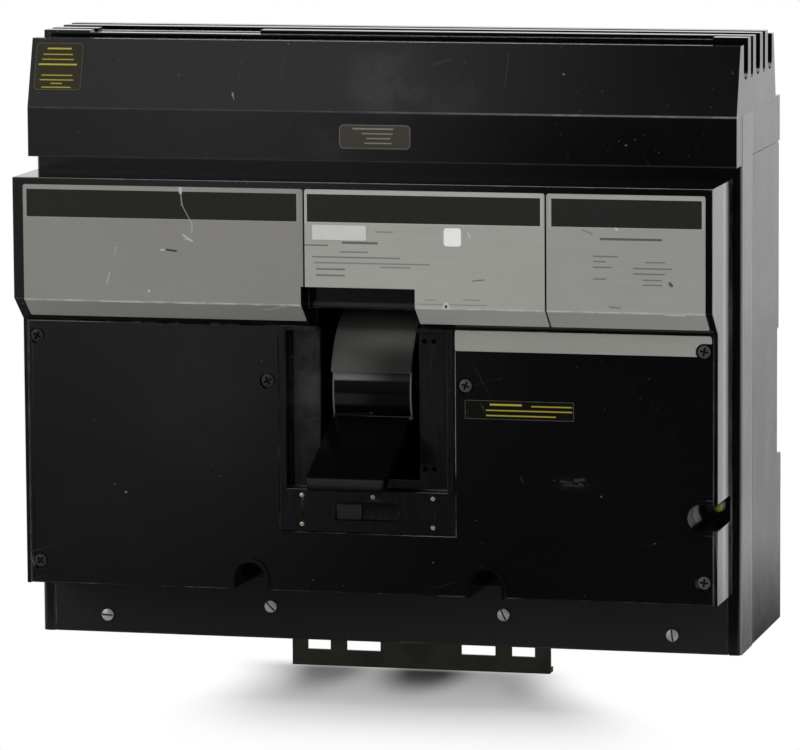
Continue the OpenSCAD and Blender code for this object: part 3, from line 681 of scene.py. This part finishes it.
def grid_piece(name, grids, wrapped):
    """One mesh piece from several grids of points, with poles and seams merged and normals turned outwards."""
    points = np.concatenate([g.reshape(-1, 3) for g in grids])
    starts = np.cumsum([0] + [g.shape[0] * g.shape[1] for g in grids])
    faces = np.concatenate([grid_faces(g.shape[0], g.shape[1], wrapped) + s for g, s in zip(grids, starts)])
    mesh = bpy.data.meshes.new(name)
    mesh.from_pydata(points.tolist(), [], faces.tolist())
    shape = bmesh.new()
    shape.from_mesh(mesh)
    bmesh.ops.remove_doubles(shape, verts=shape.verts, dist=2e-7)
    bmesh.ops.recalc_face_normals(shape, faces=shape.faces)
    shape.to_mesh(mesh)
    shape.free()
    mesh.polygons.foreach_set("use_smooth", np.ones(len(mesh.polygons), bool))
    mesh.set_sharp_from_angle(angle=math.radians(40.0))
    piece = bpy.data.objects.new(name, mesh)
    bpy.context.scene.collection.objects.link(piece)
    return piece


def smooth_step(value, start, end):
    """0 below start, 1 above end, smooth between."""
    t = np.clip((value - start) / (end - start), 0.0, 1.0)
    return t * t * (3.0 - 2.0 * t)


def head_grid(centre, radius, height, crown, recess, turn):
    """Screw head facing -Y: a lathe profile over angle and run, lowered where recess(u, v) is above nought.

    Profile: crowned top r from 0 to the rim, a quarter-round rim, the side down to the seat and the foot back to 0.
    """
    angle = np.linspace(0.0, 2.0 * np.pi, 96, endpoint=False)
    rim = 0.25 * height
    top_r = np.linspace(0.0, radius - rim, 30)
    top_h = height - crown * (top_r / radius) ** 2
    quarter = np.linspace(0.0, np.pi / 2, 6)[1:]
    rim_r = radius - rim + rim * np.sin(quarter)
    rim_h = top_h[-1] - rim + rim * np.cos(quarter)
    r = np.concatenate([top_r, rim_r, [radius, 0.0]])[:, None]
    h = np.concatenate([top_h, rim_h, [0.0, 0.0]])[:, None] + 0.0 * angle[None, :]
    u = r * np.cos(angle + turn)
    v = r * np.sin(angle + turn)
    on_top = (np.arange(len(r)) < 30)[:, None]
    h = h - np.where(on_top, recess(u, v), 0.0)
    x = centre[0] + r * np.cos(angle)
    z = centre[2] + r * np.sin(angle)
    return np.stack([x, centre[1] - h, z], -1)


def bar_cut(u, v, long_half, wide_half, depth, soft):
    """Depth of a straight groove: depth inside the half sizes, nought outside, with soft walls."""
    inside = (1.0 - smooth_step(np.abs(u), long_half - soft, long_half)) * (
        1.0 - smooth_step(np.abs(v), wide_half - soft, wide_half)
    )
    return depth * inside


def sheet_grid(corner_radius, half_wide, half_high, thick, to_place):
    """Sticker: rings of a rounded rectangle from its middle to its edge and down to its foot.

    A ring's point at an angle is a share of the outline's point there; the outline is a rectangle's core
    plus a circle of the corner radius.
    """
    angle = np.linspace(0.0, 2.0 * np.pi, 96, endpoint=False)
    core = np.array([half_wide - corner_radius, half_high - corner_radius])
    way = np.stack([np.cos(angle), np.sin(angle)], -1)
    square = np.sign(way) * np.minimum(np.abs(way) * 8.0, 1.0) * core
    outline = square + way * corner_radius
    ring = np.array([0.0, 0.5, 1.0, 1.0])[:, None, None]
    rise = np.array([1.0, 1.0, 1.0, 0.0])[:, None] * thick + 0.0 * angle[None, :]
    flat = ring * outline[None, :, :]
    return to_place(flat[..., 0], flat[..., 1], rise)


def on_front(face, centre_x, centre_z):
    """Places flat points on an upright face at y = face, out towards -Y."""
    return lambda u, v, rise: np.stack([centre_x + u, face - rise, centre_z + v], -1)


def on_slope(foot, crest, centre_x, along):
    """Places flat points on a slope from foot to crest, both (y, z), with the middle at a length along it."""
    foot = np.array(foot)
    run = np.array(crest) - foot
    way = run / np.linalg.norm(run)
    out = np.array([-way[1], way[0]])

    def place(u, v, rise):
        reach = foot + way * along
        y = reach[0] + way[0] * v + out[0] * rise
        z = reach[1] + way[1] * v + out[1] * rise
        return np.stack([centre_x + u, y, z], -1)

    return place


# Operators


class BREAKER_OT_case(bpy.types.Operator):
    """Rear and front mouldings, top block, hood and terminal cover"""

    bl_idname = "breaker.case"
    bl_label = "Case mouldings"

    def execute(self, context):
        sizes, colours = context.scene.breaker_sizes, context.scene.breaker_colours
        finish = moulding_finish("case black", colours.case, colours, colours.gloss + 0.04)
        for node in ("base_case", "top_block"):
            dress(node, sizes.edge, "case_black", finish)
        # side_dust_and_sheen: dust and painted sheen on the mid case's sides
        ledge = moulding_finish(
            "ledge black", colours.case, colours, colours.gloss + 0.04, side_dust_and_sheen=((30.0, 120.0, 0.2),)
        )
        dress("mid_case", sizes.edge, "case_black", ledge)
        smudges = ((4.0, 298.0, 34.0, 28.0, 0.055), (-24.0, 268.0, 22.0, 16.0, 0.06), (34.0, 292.0, 26.0, 14.0, 0.05))
        # painted highlights along two creases of the hood
        crease_highlights = ((283.0, 0.5, 0.06, 0.5), (257.3, 0.5, 0.04, 0.08))
        scars = (
            ((-78.6, 291.8), (-78.2, 290.4), 0.9, 0.5), ((-78.2, 290.4), (-77.6, 288.6), 0.5, 0.35),
            ((68.6, 314.0), (67.4, 297.0), 0.4, 0.06), ((-52.0, 313.0), (-53.0, 299.0), 0.5, 0.03),
            ((132.0, 268.0), (133.0, 268.0), 0.6, 0.4), ((98.0, 304.0), (98.6, 303.6), 0.7, 0.4),
        )
        hood = moulding_finish(
            "hood black", colours.case, colours, colours.gloss, 2.2, 1.0, 0.12, 0.0, smudges, crease_highlights, scars
        )
        dress("jaw_hood", sizes.edge, "case_black", hood)
        # lit: lighter copy of the terminal cover's colour for its right side, painted light from the right
        lit = [c * 1.8 for c in colours.terminal]
        flap = moulding_finish(
            "terminal black", colours.terminal, colours, colours.gloss + 0.4, 0.9, 0.6, 0.1, lift=lit
        )
        dress("terminal_cover", sizes.edge, "case_black", flap)
        return {"FINISHED"}


class BREAKER_OT_front(bpy.types.Operator):
    """Front cover, access cover, escutcheon and window slide"""

    bl_idname = "breaker.front"
    bl_label = "Front mouldings"

    def execute(self, context):
        sizes, colours = context.scene.breaker_sizes, context.scene.breaker_colours
        smudges = ((-88.0, 130.0, 46.0, 50.0, 0.012), (-150.0, 60.0, 50.0, 40.0, 0.006), (108.0, 95.0, 16.0, 6.0, 0.02),
                   (176.0, 79.0, 8.0, 7.0, 0.03))
        scars = (
            ((103.5, 95.8), (109.0, 95.0), 1.2, 0.05), ((105.0, 94.0), (113.0, 93.6), 0.8, 0.06),
            ((111.0, 96.4), (115.5, 97.0), 1.6, 0.07), ((113.0, 95.0), (115.0, 94.0), 0.8, 0.1),
            ((82.0, 97.8), (83.4, 94.6), 0.7, 0.05), ((124.6, 88.6), (125.0, 88.4), 0.6, 0.4),
            ((-131.0, 83.2), (-130.6, 83.0), 0.9, 0.5), ((-108.0, 179.0), (-107.4, 178.8), 1.0, 0.3),
            # the last stroke is a painted highlight along the notch's edge, not a scar
            ((-27.5, 185.3), (27.5, 185.3), 2.2, 0.08),
        )
        # side_dust_and_sheen: dust and painted sheen on the cover's sides
        cover = moulding_finish(
            "cover black", colours.cover, colours, colours.gloss, 1.2, 0.5, 0.08, 0.0, smudges, (), scars,
            side_dust_and_sheen=((-20.0, 27.0, 0.33), (14.0, 27.0, 0.85)),
        )
        for node in ("front_cover", "access_cover"):
            dress(node, sizes.edge * 0.8, "cover_black", cover)
        # holes in the escutcheon's strips, painted black as painted shade
        holes = [(hole_x, height, 1.4) for hole_x in (29.5, 34.5) for height in (166.0, 98.8)]
        smudges = ((-33.0, 142.0, 13.0, 44.0, 0.1), (-32.0, 106.0, 12.0, 24.0, 0.02), (33.0, 132.0, 13.0, 40.0, 0.012))
        tray = moulding_finish(
            "escutcheon black", colours.case, colours, colours.gloss + 0.07, 1.1, 0.12, 0.3, 3.0, smudges, shaded_pits=holes
        )
        dress("handle_escutcheon", sizes.edge * 0.5, "case_black", tray)
        slide = moulding_finish("slide grey", colours.slide, colours, colours.gloss + 0.15, 0.6, 0.5)
        dress("window_slide", sizes.edge * 0.3, "slide_dark", slide)
        return {"FINISHED"}


class BREAKER_OT_handle(bpy.types.Operator):
    """Toggle handle and its shaft"""

    bl_idname = "breaker.handle"
    bl_label = "Handle"

    def execute(self, context):
        sizes, colours = context.scene.breaker_sizes, context.scene.breaker_colours
        finish = handle_finish("handle black", colours, colours.gloss + 0.08)
        dress("handle", sizes.edge * 0.7, "case_black", finish, "handle")
        shaft = metal_finish("shaft steel", colours.steel, 0.3, (40.0, 900.0, 900.0))
        dress("handle_shaft", sizes.steel_edge, "shaft_steel", shaft)
        return {"FINISHED"}


class BREAKER_OT_plates(bpy.types.Operator):
    """Label plates on the block and the strip on the access cover"""

    bl_idname = "breaker.plates"
    bl_label = "Label plates"

    def execute(self, context):
        sizes, colours = context.scene.breaker_sizes, context.scene.breaker_colours
        centre_rules = [
            (9.5, 19.0, 225.3, 0.31, 0.45), (-29.0, -15.5, 217.8, 0.37, 0.60),
            (-8.0, 11.0, 219.4, 0.60, 0.68), (-9.0, 5.7, 214.6, 0.37, 0.52),
            (-24.0, 22.7, 211.8, 0.37, 0.52), (-23.0, 38.6, 208.8, 0.37, 0.45),
            (-22.0, -6.6, 205.5, 0.43, 0.60), (-22.0, -6.6, 202.3, 0.43, 0.60),
            (12.0, 28.0, 207.0, 0.37, 0.45), (35.8, 42.2, 190.6, 0.25, 0.45),
            (55.9, 64.8, 191.1, 0.25, 0.45), (32.1, 68.5, 188.4, 0.25, 0.45),
        ]
        right_rules = [
            (127.8, 160.0, 224.0, 0.60, 0.70), (124.1, 137.1, 215.0, 0.37, 0.52),
            (124.1, 130.9, 212.4, 0.37, 0.52), (151.2, 161.5, 212.4, 0.37, 0.45),
            (124.1, 134.0, 209.5, 0.37, 0.52), (144.9, 165.1, 209.2, 0.37, 0.52),
            (144.9, 161.5, 206.4, 0.37, 0.52), (124.1, 130.9, 203.4, 0.37, 0.52),
            (150.1, 160.0, 203.3, 0.37, 0.52), (150.1, 160.0, 200.8, 0.37, 0.52),
        ]
        left_strokes = [
            ((-94.5, 246.0), (-94.3, 243.8), 1.7, 0.6), ((-94.3, 243.8), (-93.6, 237.3), 0.8, 0.3),
            ((-93.6, 237.3), (-88.3, 227.5), 0.5, 0.35), ((-88.3, 227.5), (-88.4, 222.8), 0.45, 0.5),
            ((-93.2, 221.7), (-88.4, 218.6), 0.9, 0.6), ((-92.6, 219.6), (-89.0, 219.0), 0.5, 0.5),
            ((-105.2, 213.6), (-102.0, 213.9), 0.7, 0.8), ((-102.5, 213.9), (-97.1, 213.2), 1.0, -0.9),
            ((-129.6, 214.7), (-130.5, 211.0), 0.4, 0.45), ((-133.1, 201.5), (-134.8, 195.7), 0.5, 0.55),
            # the pale strokes at a height of about 186 lie on the bend and add to its painted highlight
            ((-112.0, 192.1), (-112.0, 192.0), 1.1, 0.9), ((-138.7, 186.0), (-114.3, 185.9), 0.6, 0.7),
            ((-98.0, 186.0), (-81.8, 185.9), 0.6, 0.6), ((-50.6, 182.9), (-38.8, 185.3), 0.5, 0.5),
        ]
        centre_strokes = [
            ((46.9, 188.0), (46.9, 187.2), 3.0, 0.8), ((46.9, 187.6), (46.9, 187.2), 1.4, -0.95),
            ((61.2, 201.0), (67.0, 201.6), 0.7, -0.6),
            ((58.7, 225.7), (59.7, 223.2), 0.8, 0.6),
        ]
        right_strokes = [
            ((164.1, 201.8), (165.0, 200.8), 1.6, -0.8), ((132.9, 189.2), (138.1, 188.8), 1.0, -0.4),
            ((118.9, 228.4), (123.6, 226.5), 0.9, -0.35),
            # the first stroke, at a height of about 186, lies on the bend and adds to its painted highlight
            ((161.5, 185.6), (171.9, 185.4), 0.8, 0.9), ((136.0, 229.4), (136.6, 229.0), 1.2, 0.7),
        ]
        plates = (
            ("left_label_plate", colours.left_label, (-178.0, -32.2, 229.9, 244.3), [], left_strokes),
            ("center_label_plate", colours.center_label, (-26.6, 96.6, 229.9, 244.3), centre_rules, centre_strokes),
            ("right_label_plate", colours.right_label, (102.4, 180.6, 229.9, 244.3), right_rules, right_strokes),
        )
        for node, colour, band, rules, strokes in plates:
            finish = plate_finish(node.replace("_", " "), colour, colours, band, rules, strokes)
            dress(node, sizes.sheet_edge, "label_grey", finish)
        finish = plate_finish("access strip", colours.strip, colours, None, [], [])
        dress("access_label_strip", sizes.sheet_edge, "label_grey", finish)
        return {"FINISHED"}


class BREAKER_OT_metal(bpy.types.Operator):
    """Mounting bracket, line jaws and load lugs"""

    bl_idname = "breaker.metal"
    bl_label = "Metal parts"

    def execute(self, context):
        sizes, colours = context.scene.breaker_sizes, context.scene.breaker_colours
        steel = metal_finish("bracket steel", colours.bracket, 0.45, (25.0, 700.0, 700.0), 0.5, 0.3)
        dress("mounting_bracket", sizes.steel_edge, "bracket_steel", steel)
        copper = metal_finish("jaw copper", colours.copper, 0.38, (30.0, 500.0, 900.0), 0.5)
        alloy = metal_finish("lug alloy", colours.alloy, 0.42, (60.0, 60.0, 900.0), 0.35)
        for side in ("left", "center", "right"):
            dress(side + "_line_jaw", sizes.steel_edge, "copper", copper)
            dress(side + "_load_lug", sizes.steel_edge, "lug_alloy", alloy)
        return {"FINISHED"}


class BREAKER_OT_screws(bpy.types.Operator):
    """Cross-slot cover screws, slotted terminal screws, flange screws and brass inserts"""

    bl_idname = "breaker.screws"
    bl_label = "Screws and inserts"

    def execute(self, context):
        sizes, colours = context.scene.breaker_sizes, context.scene.breaker_colours
        self.cover_screws(sizes, colours)
        self.terminal_screws(sizes, colours)
        self.flange_screws(sizes, colours)
        self.inserts(colours)
        return {"FINISHED"}

    def cover_screws(self, sizes, colours):
        lo, hi = low("access_cover_screws"), high("access_cover_screws")
        radius, seat, height = 3.4 * MM, hi[1], 1.4 * MM
        inner = high("handle_escutcheon")[0] + 6.0 * MM
        inner_z = up(144.2)
        places = [(lo[0] + radius, hi[2] - radius, 0.5), (hi[0] - radius, hi[2] - radius, 0.2), (-inner, inner_z, 1.1),
                  (inner, inner_z, 0.35), (lo[0] + radius, lo[2] + radius, 0.75),
                  (hi[0] - radius, lo[2] + radius, 0.1)]

        def cross(u, v):
            half, wide = sizes.cross_length / 2, sizes.cross_width / 2
            return np.maximum(
                bar_cut(u, v, half, wide, sizes.recess, 0.25 * MM), bar_cut(v, u, half, wide, sizes.recess, 0.25 * MM)
            )

        grids = [head_grid((x, seat, z), radius, height, 0.3 * MM, cross, turn) for x, z, turn in places]
        left = [c * 0.36 for c in colours.dark_screw]
        # painted shade in the cross recesses
        shade_depth = float(seat) - 0.85 * MM
        finish = metal_finish("dark screw", colours.dark_screw, 0.38, (500.0, 500.0, 500.0), 0.4, 0.2, left, shade_depth)
        settle(grid_piece("cover_screw_heads", grids, True), "case", "screw_dark", finish, "access_cover_screws")

    def terminal_screws(self, sizes, colours):
        lo, hi = low("terminal_cover_screws"), high("terminal_cover_screws")
        radius, seat, height = 3.3 * MM, hi[1], 2.0 * MM
        inner = 63.5 * MM
        places = [(lo[0] + radius, lo[2] + radius, 0.05), (-inner, hi[2] - radius, 0.8), (inner, hi[2] - radius, 1.15),
                  (hi[0] - radius, lo[2] + radius, 1.45)]

        def groove(u, v):
            return bar_cut(u, v, 2.0 * radius, sizes.slot_width / 2, 1.4 * sizes.recess, 0.2 * MM)

        grids = [head_grid((x, seat, z), radius, height, 0.7 * MM, groove, turn) for x, z, turn in places]
        # painted shade in the slots
        shade_depth = float(seat) - 0.95 * MM
        finish = metal_finish("bright screw", colours.bright_screw, 0.24, (500.0, 500.0, 500.0), 0.3, 0.4, None, shade_depth)
        settle(grid_piece("terminal_screw_heads", grids, True), "case", "screw_bright", finish, "terminal_cover_screws")

    def flange_screws(self, sizes, colours):
        finish = metal_finish("flange screw", colours.bright_screw, 0.4, (500.0, 500.0, 500.0), 0.5)
        dress("bracket_screws", sizes.steel_edge, "screw_bright", finish)

    def inserts(self, colours):
        lo, hi = low("escutcheon_inserts"), high("escutcheon_inserts")
        radius, height = 1.5 * MM, hi[1] - lo[1]
        places = [(lo[0] + radius, hi[2] - radius), (3.0 * MM, hi[2] - radius), (hi[0] - radius, hi[2] - radius),
                  (lo[0] + radius, lo[2] + radius), (hi[0] - radius, lo[2] + radius)]

        def bore(u, v):
            return 4.0 * MM * (1.0 - smooth_step(np.hypot(u, v), 0.6 * MM, 0.75 * MM))

        grids = [head_grid((x, hi[1], z), radius, height, 0.0, bore, 0.0) for x, z in places]
        # painted shade in the bores
        shade_depth = float(hi[1]) + 0.1 * MM
        finish = metal_finish("insert brass", colours.brass, 0.25, (600.0, 600.0, 600.0), 0.3, 0.45, None, shade_depth)
        settle(grid_piece("insert_rings", grids, True), "case", "brass", finish, "escutcheon_inserts")


class BREAKER_OT_stickers(bpy.types.Operator):
    """Blank stickers on the hood, the plates and the access cover"""

    bl_idname = "breaker.stickers"
    bl_label = "Blank stickers"

    def execute(self, context):
        sizes, colours = context.scene.breaker_sizes, context.scene.breaker_colours
        white = [c * 1.42 for c in colours.paper]
        cover_rules = [(66.0, 83.0, 134.9, 0.5, 0.85), (88.0, 109.4, 134.4, 0.35, 0.7), (64.0, 109.6, 131.9, 0.35, 0.7),
                       (64.0, 101.0, 129.2, 0.35, 0.7)]
        skirt_rules = [(-13.0, 9.0, 274.4, 0.4, 0.75), (-8.0, 8.6, 271.9, 0.35, 0.7), (-5.6, 7.4, 269.4, 0.35, 0.7),
                       (-6.6, 8.0, 266.9, 0.35, 0.7)]
        flat = (
            ("rating_sticker", LABEL_FACE, (-23.9, 4.8, 220.7, 228.4), 0.4, colours.paper, "label_grey", 0.0,
             [], colours.band),
            ("square_sticker", LABEL_FACE, (45.9, 55.1, 218.6, 228.0), 1.6, white, "label_grey", 0.0,
             [], colours.band),
            ("skirt_sticker", SKIRT_FACE, (-20.4, 18.2, 263.7, 276.7), 2.6, colours.skirt_film, "slide_dark", 0.35,
             skirt_rules, colours.pale_rule),
            ("cover_sticker", PLATE_FACE, (52.6, 110.7, 127.0, 137.2), 0.6, colours.film, "slide_dark", 0.2,
             cover_rules, colours.rule),
        )
        for name, face, (x0, x1, z0, z1), corner, colour, slot, rim, rules, ink in flat:
            centre_x, centre_z = (x0 + x1) / 2 * MM, up((z0 + z1) / 2)
            place = on_front(face, centre_x, centre_z)
            grid = sheet_grid(corner * MM, (x1 - x0) / 2 * MM, (z1 - z0) / 2 * MM, sizes.sticker, place)
            box = (x0, x1, z0 + CASE_BOTTOM / MM, z1 + CASE_BOTTOM / MM)
            rough = 0.5 if rim == 0.0 else 0.2
            rim_tone = [c * 2.4 for c in colours.rim] if name == "skirt_sticker" else colours.rim
            finish = sticker_finish(name.replace("_", " "), colour, box, corner, rim, rim_tone, rules, ink, rough)
            settle(grid_piece(name, [grid], True), "case", slot, finish)
        foot, crest = (SKIRT_FACE, up(283.0)), (SKIRT_FACE + 11.1 * MM, up(319.0))
        place = on_slope(foot, crest, -174.8 * MM, 22.3 * MM)
        grid = sheet_grid(2.2 * MM, 13.2 * MM, 13.1 * MM, sizes.sticker, place)
        box = (-188.0, -161.6, 292.0 + CASE_BOTTOM / MM, 316.8 + CASE_BOTTOM / MM)
        hood_rules = [
            (-181.6, -168.4, 313.6, 0.42, 0.8), (-183.6, -167.4, 310.6, 0.28, 0.65),
            (-184.2, -166.8, 308.0, 0.28, 0.65),
            (-186.0, -164.8, 305.4, 0.42, 0.8), (-184.0, -167.0, 299.8, 0.28, 0.65),
            (-184.8, -166.2, 297.4, 0.28, 0.65),
            (-178.6, -172.4, 295.6, 0.28, 0.65), (-183.6, -167.4, 293.6, 0.28, 0.65),
        ]
        finish = sticker_finish(
            "hood sticker", colours.hood_film, box, 2.2, 0.3, colours.rim, hood_rules, colours.rule, 0.14
        )
        settle(grid_piece("hood_sticker", [grid], True), "case", "slide_dark", finish)
        return {"FINISHED"}


class BREAKER_OT_peg(bpy.types.Operator):
    """Small peg standing in the side notch"""

    bl_idname = "breaker.peg"
    bl_label = "Notch peg"

    def execute(self, context):
        sizes, colours = context.scene.breaker_sizes, context.scene.breaker_colours
        foot = PLATE_FACE + 37.4 * MM
        centre = (182.0 * MM, foot, up(81.6))

        def plain(u, v):
            return 0.0 * u

        grid = head_grid(centre, sizes.peg, 20.0 * MM, sizes.peg * 0.9, plain, 0.0)
        finish = peg_finish("peg green", colours.peg)
        settle(grid_piece("notch_peg", [grid], True), "case", "slide_dark", finish)
        return {"FINISHED"}


class BREAKER_OT_stage(bpy.types.Operator):
    """Floor, lamps, world and camera"""

    bl_idname = "breaker.stage"
    bl_label = "Stage"

    def execute(self, context):
        stage = context.scene.breaker_stage
        context.scene.view_settings.view_transform = "Standard"
        self.floor(stage)
        self.room(context, stage)
        self.lamps(stage)
        self.camera(context, stage)
        return {"FINISHED"}

    def floor(self, stage):
        """Flat disc of rings and spokes, cut short in front; white but for the soft shadow under the bracket.

        The shadow shows inside a strip that runs from the bracket towards the camera and widens with the distance
        ahead; round spots in it keep their full depth. In reflections the floor glows dark near the case and pale far
        from it, a painted shade round the case.
        """
        ring = np.linspace(0.0, 1.6, 24)[:, None]
        angle = np.linspace(0.0, 2.0 * np.pi, 96, endpoint=False)[None, :]
        x = ring * np.cos(angle)
        y = np.maximum(ring * np.sin(angle), -0.3 + 0.0 * x)
        disc = grid_piece("floor", [np.stack([x, y, FLOOR - 0.0003 + 0.0 * x], -1)], True)
        material, board = new_board("floor white")
        px, py, pz = board.axes()
        path = board.add("ShaderNodeLightPath")
        seen = (path["Is Camera Ray"] + path["Is Transmission Ray"]).clip()
        gloss = path["Is Glossy Ray"]
        ahead = 0.0 - py
        aside = abs(px + 0.021 - ahead * 0.28) / (0.083 + ahead.above(0.05, 0.2) * 0.035)
        dim = (1.0 - aside.above(0.6, 1.2)) * (1.0 - ahead.above(0.14, 0.31)) * ahead.above(0.02, 0.05)
        lift = 0.0 * px + stage.shadow
        for spot_x, wide, depth in ((0.002, 0.032, 0.3), (-0.053, 0.026, 0.18), (0.064, 0.022, 0.1)):
            u, v = (px - spot_x - ahead * 0.07) / wide, (ahead - 0.05) / 0.09
            lift = lift - (1.0 - ((u * u + v * v) ** 0.5).above(0.2, 1.0)) * depth
        fade = 1.0 - dim * (1.0 - lift)
        # painted shade in reflections: the floor's glow for glossy rays is dark near the case and pale far from it
        far = (px * px + py * py) ** 0.5
        far = 0.03 + far.above(0.16, 0.57) * 0.52 + far.above(0.5, 1.7) * 0.08
        lit = board.add("ShaderNodeBsdfDiffuse", None, {"Color": rgba(stage.floor)})["BSDF"]
        glow_tone = board.mix(gloss * (1.0 - far), WHITE, BLACK)
        glow = board.add("ShaderNodeEmission", None, {"Color": glow_tone})["Emission"]
        both = board.add("ShaderNodeMixShader", None, {0: (fade * seen + gloss).clip(), 1: lit, 2: glow})
        board.add("ShaderNodeOutputMaterial", None, {"Surface": both[0]})
        disc.data.materials.append(material)

    def room(self, context, stage):
        """White for the camera; in reflections white behind and overhead, dark in front, a pale panel at the left."""
        world = bpy.data.worlds.new("studio")
        world.use_nodes = True
        context.scene.world = world
        board = Board(world.node_tree)
        path = board.add("ShaderNodeLightPath")
        way = board.add("ShaderNodeTexCoord")["Generated"]
        parts = board.add("ShaderNodeSeparateXYZ", None, {0: way})
        x, y, z = parts["X"], parts["Y"], parts["Z"]
        behind = y.above(-0.25, 0.15)
        edge = x - (z * 0.027 - (-0.09 - z).most(0.0) * 0.25) + 0.2405
        left = 1.0 - edge.above(-0.02, 0.03)
        far_left = 1.0 - (1.0 - x.above(-0.31, -0.262)) * (0.4 - z.above(0.0, 0.5) * 0.2)
        panel = left * far_left * (z.above(-0.22, -0.06) * stage.panel + z.above(0.45, 0.7) * 0.42)
        behind = behind * (0.92 - (1.0 - z.above(-0.15, -0.03)) * x.above(0.05, 0.15) * 0.3)
        shown = (behind + panel + z.above(0.7, 0.95) + 0.02 + z.above(0.0, 0.5) * 0.05).clip()
        gloss = (path["Is Glossy Ray"] + path["Is Transmission Ray"]).clip()
        seen = path["Is Camera Ray"]
        level = seen + (1.0 - seen) * (gloss * shown + (1.0 - gloss) * stage.world)
        sky = board.add("ShaderNodeBackground", None, {"Color": WHITE, "Strength": level})["Background"]
        board.add("ShaderNodeOutputWorld", None, {"Surface": sky})

    def lamps(self, stage):
        for name, power, size, place, aim in (
            ("top lamp", stage.top_lamp, 1.3, (-0.2, -0.1, 1.6), (0.0, 0.0, 0.0)),
            ("front lamp", stage.side_lamp, 1.1, (-1.5, -1.7, 1.2), (0.0, 0.0, 0.1)),
        ):
            data = bpy.data.lights.new(name, "AREA")
            data.energy = power
            data.size = size
            lamp = bpy.data.objects.new(name, data)
            bpy.context.scene.collection.objects.link(lamp)
            way = Vector(place) - Vector(aim)
            lamp.matrix_world = Matrix.Translation(place) @ way.to_track_quat("Z", "Y").to_matrix().to_4x4()

    def camera(self, context, stage):
        """Camera on the line that the photograph's middle looks along, leaning by the roll."""
        a, e, r = (math.radians(v) for v in (stage.azimuth, stage.elevation, -stage.roll))
        back = Vector((math.sin(a) * math.cos(e), -math.cos(a) * math.cos(e), math.sin(e)))
        target = Vector((-11.6 * MM, -60.0 * MM, 93.2 * MM))
        right = (-back).cross(Vector((0.0, 0.0, 1.0))).normalized()
        over = right.cross(-back)
        lean_right = right * math.cos(r) + over * math.sin(r)
        lean_up = over * math.cos(r) - right * math.sin(r)
        focal = stage.lens / SENSOR * PICTURE_WIDTH
        shift_x = (PICTURE_WIDTH / 2 - TARGET_PIXEL[0]) / focal
        shift_y = (PICTURE_HEIGHT / 2 - TARGET_PIXEL[1]) / focal
        look = (-back + lean_right * shift_x - lean_up * shift_y).normalized()
        side = look.cross(lean_up).normalized()
        turn = Matrix((side, side.cross(look), -look)).transposed()
        data = bpy.data.cameras.new("camera")
        data.lens = stage.lens
        data.sensor_width = SENSOR
        camera = bpy.data.objects.new("camera", data)
        context.scene.collection.objects.link(camera)
        camera.matrix_world = Matrix.Translation(target + back * stage.distance) @ turn.to_4x4()
        context.scene.camera = camera


OPERATORS = (
    BREAKER_OT_case,
    BREAKER_OT_front,
    BREAKER_OT_handle,
    BREAKER_OT_plates,
    BREAKER_OT_metal,
    BREAKER_OT_screws,
    BREAKER_OT_stickers,
    BREAKER_OT_peg,
    BREAKER_OT_stage,
)


class BREAKER_PT_panel(bpy.types.Panel):
    """Breaker pieces in the sidebar"""

    bl_label = "Breaker"
    bl_idname = "BREAKER_PT_panel"
    bl_space_type = "VIEW_3D"
    bl_region_type = "UI"
    bl_category = "Breaker"

    def draw(self, context):
        for operator in OPERATORS:
            self.layout.operator(operator.bl_idname)
        for group in (context.scene.breaker_sizes, context.scene.breaker_colours, context.scene.breaker_stage):
            for key in group.bl_rna.properties.keys():
                if key not in {"rna_type", "name"}:
                    self.layout.prop(group, key)


CLASSES = (BreakerSizes, BreakerColours, BreakerStage, *OPERATORS, BREAKER_PT_panel)


def register():
    for cls in CLASSES:
        bpy.utils.register_class(cls)
    bpy.types.Scene.breaker_sizes = bpy.props.PointerProperty(type=BreakerSizes)
    bpy.types.Scene.breaker_colours = bpy.props.PointerProperty(type=BreakerColours)
    bpy.types.Scene.breaker_stage = bpy.props.PointerProperty(type=BreakerStage)


def unregister():
    del bpy.types.Scene.breaker_stage
    del bpy.types.Scene.breaker_colours
    del bpy.types.Scene.breaker_sizes
    for cls in reversed(CLASSES):
        bpy.utils.unregister_class(cls)


def main():
    register()
    bpy.ops.breaker.case()
    bpy.ops.breaker.front()
    bpy.ops.breaker.handle()
    bpy.ops.breaker.plates()
    bpy.ops.breaker.metal()
    bpy.ops.breaker.screws()
    bpy.ops.breaker.stickers()
    bpy.ops.breaker.peg()
    bpy.ops.breaker.stage()


if __name__ == "__main__":
    main()
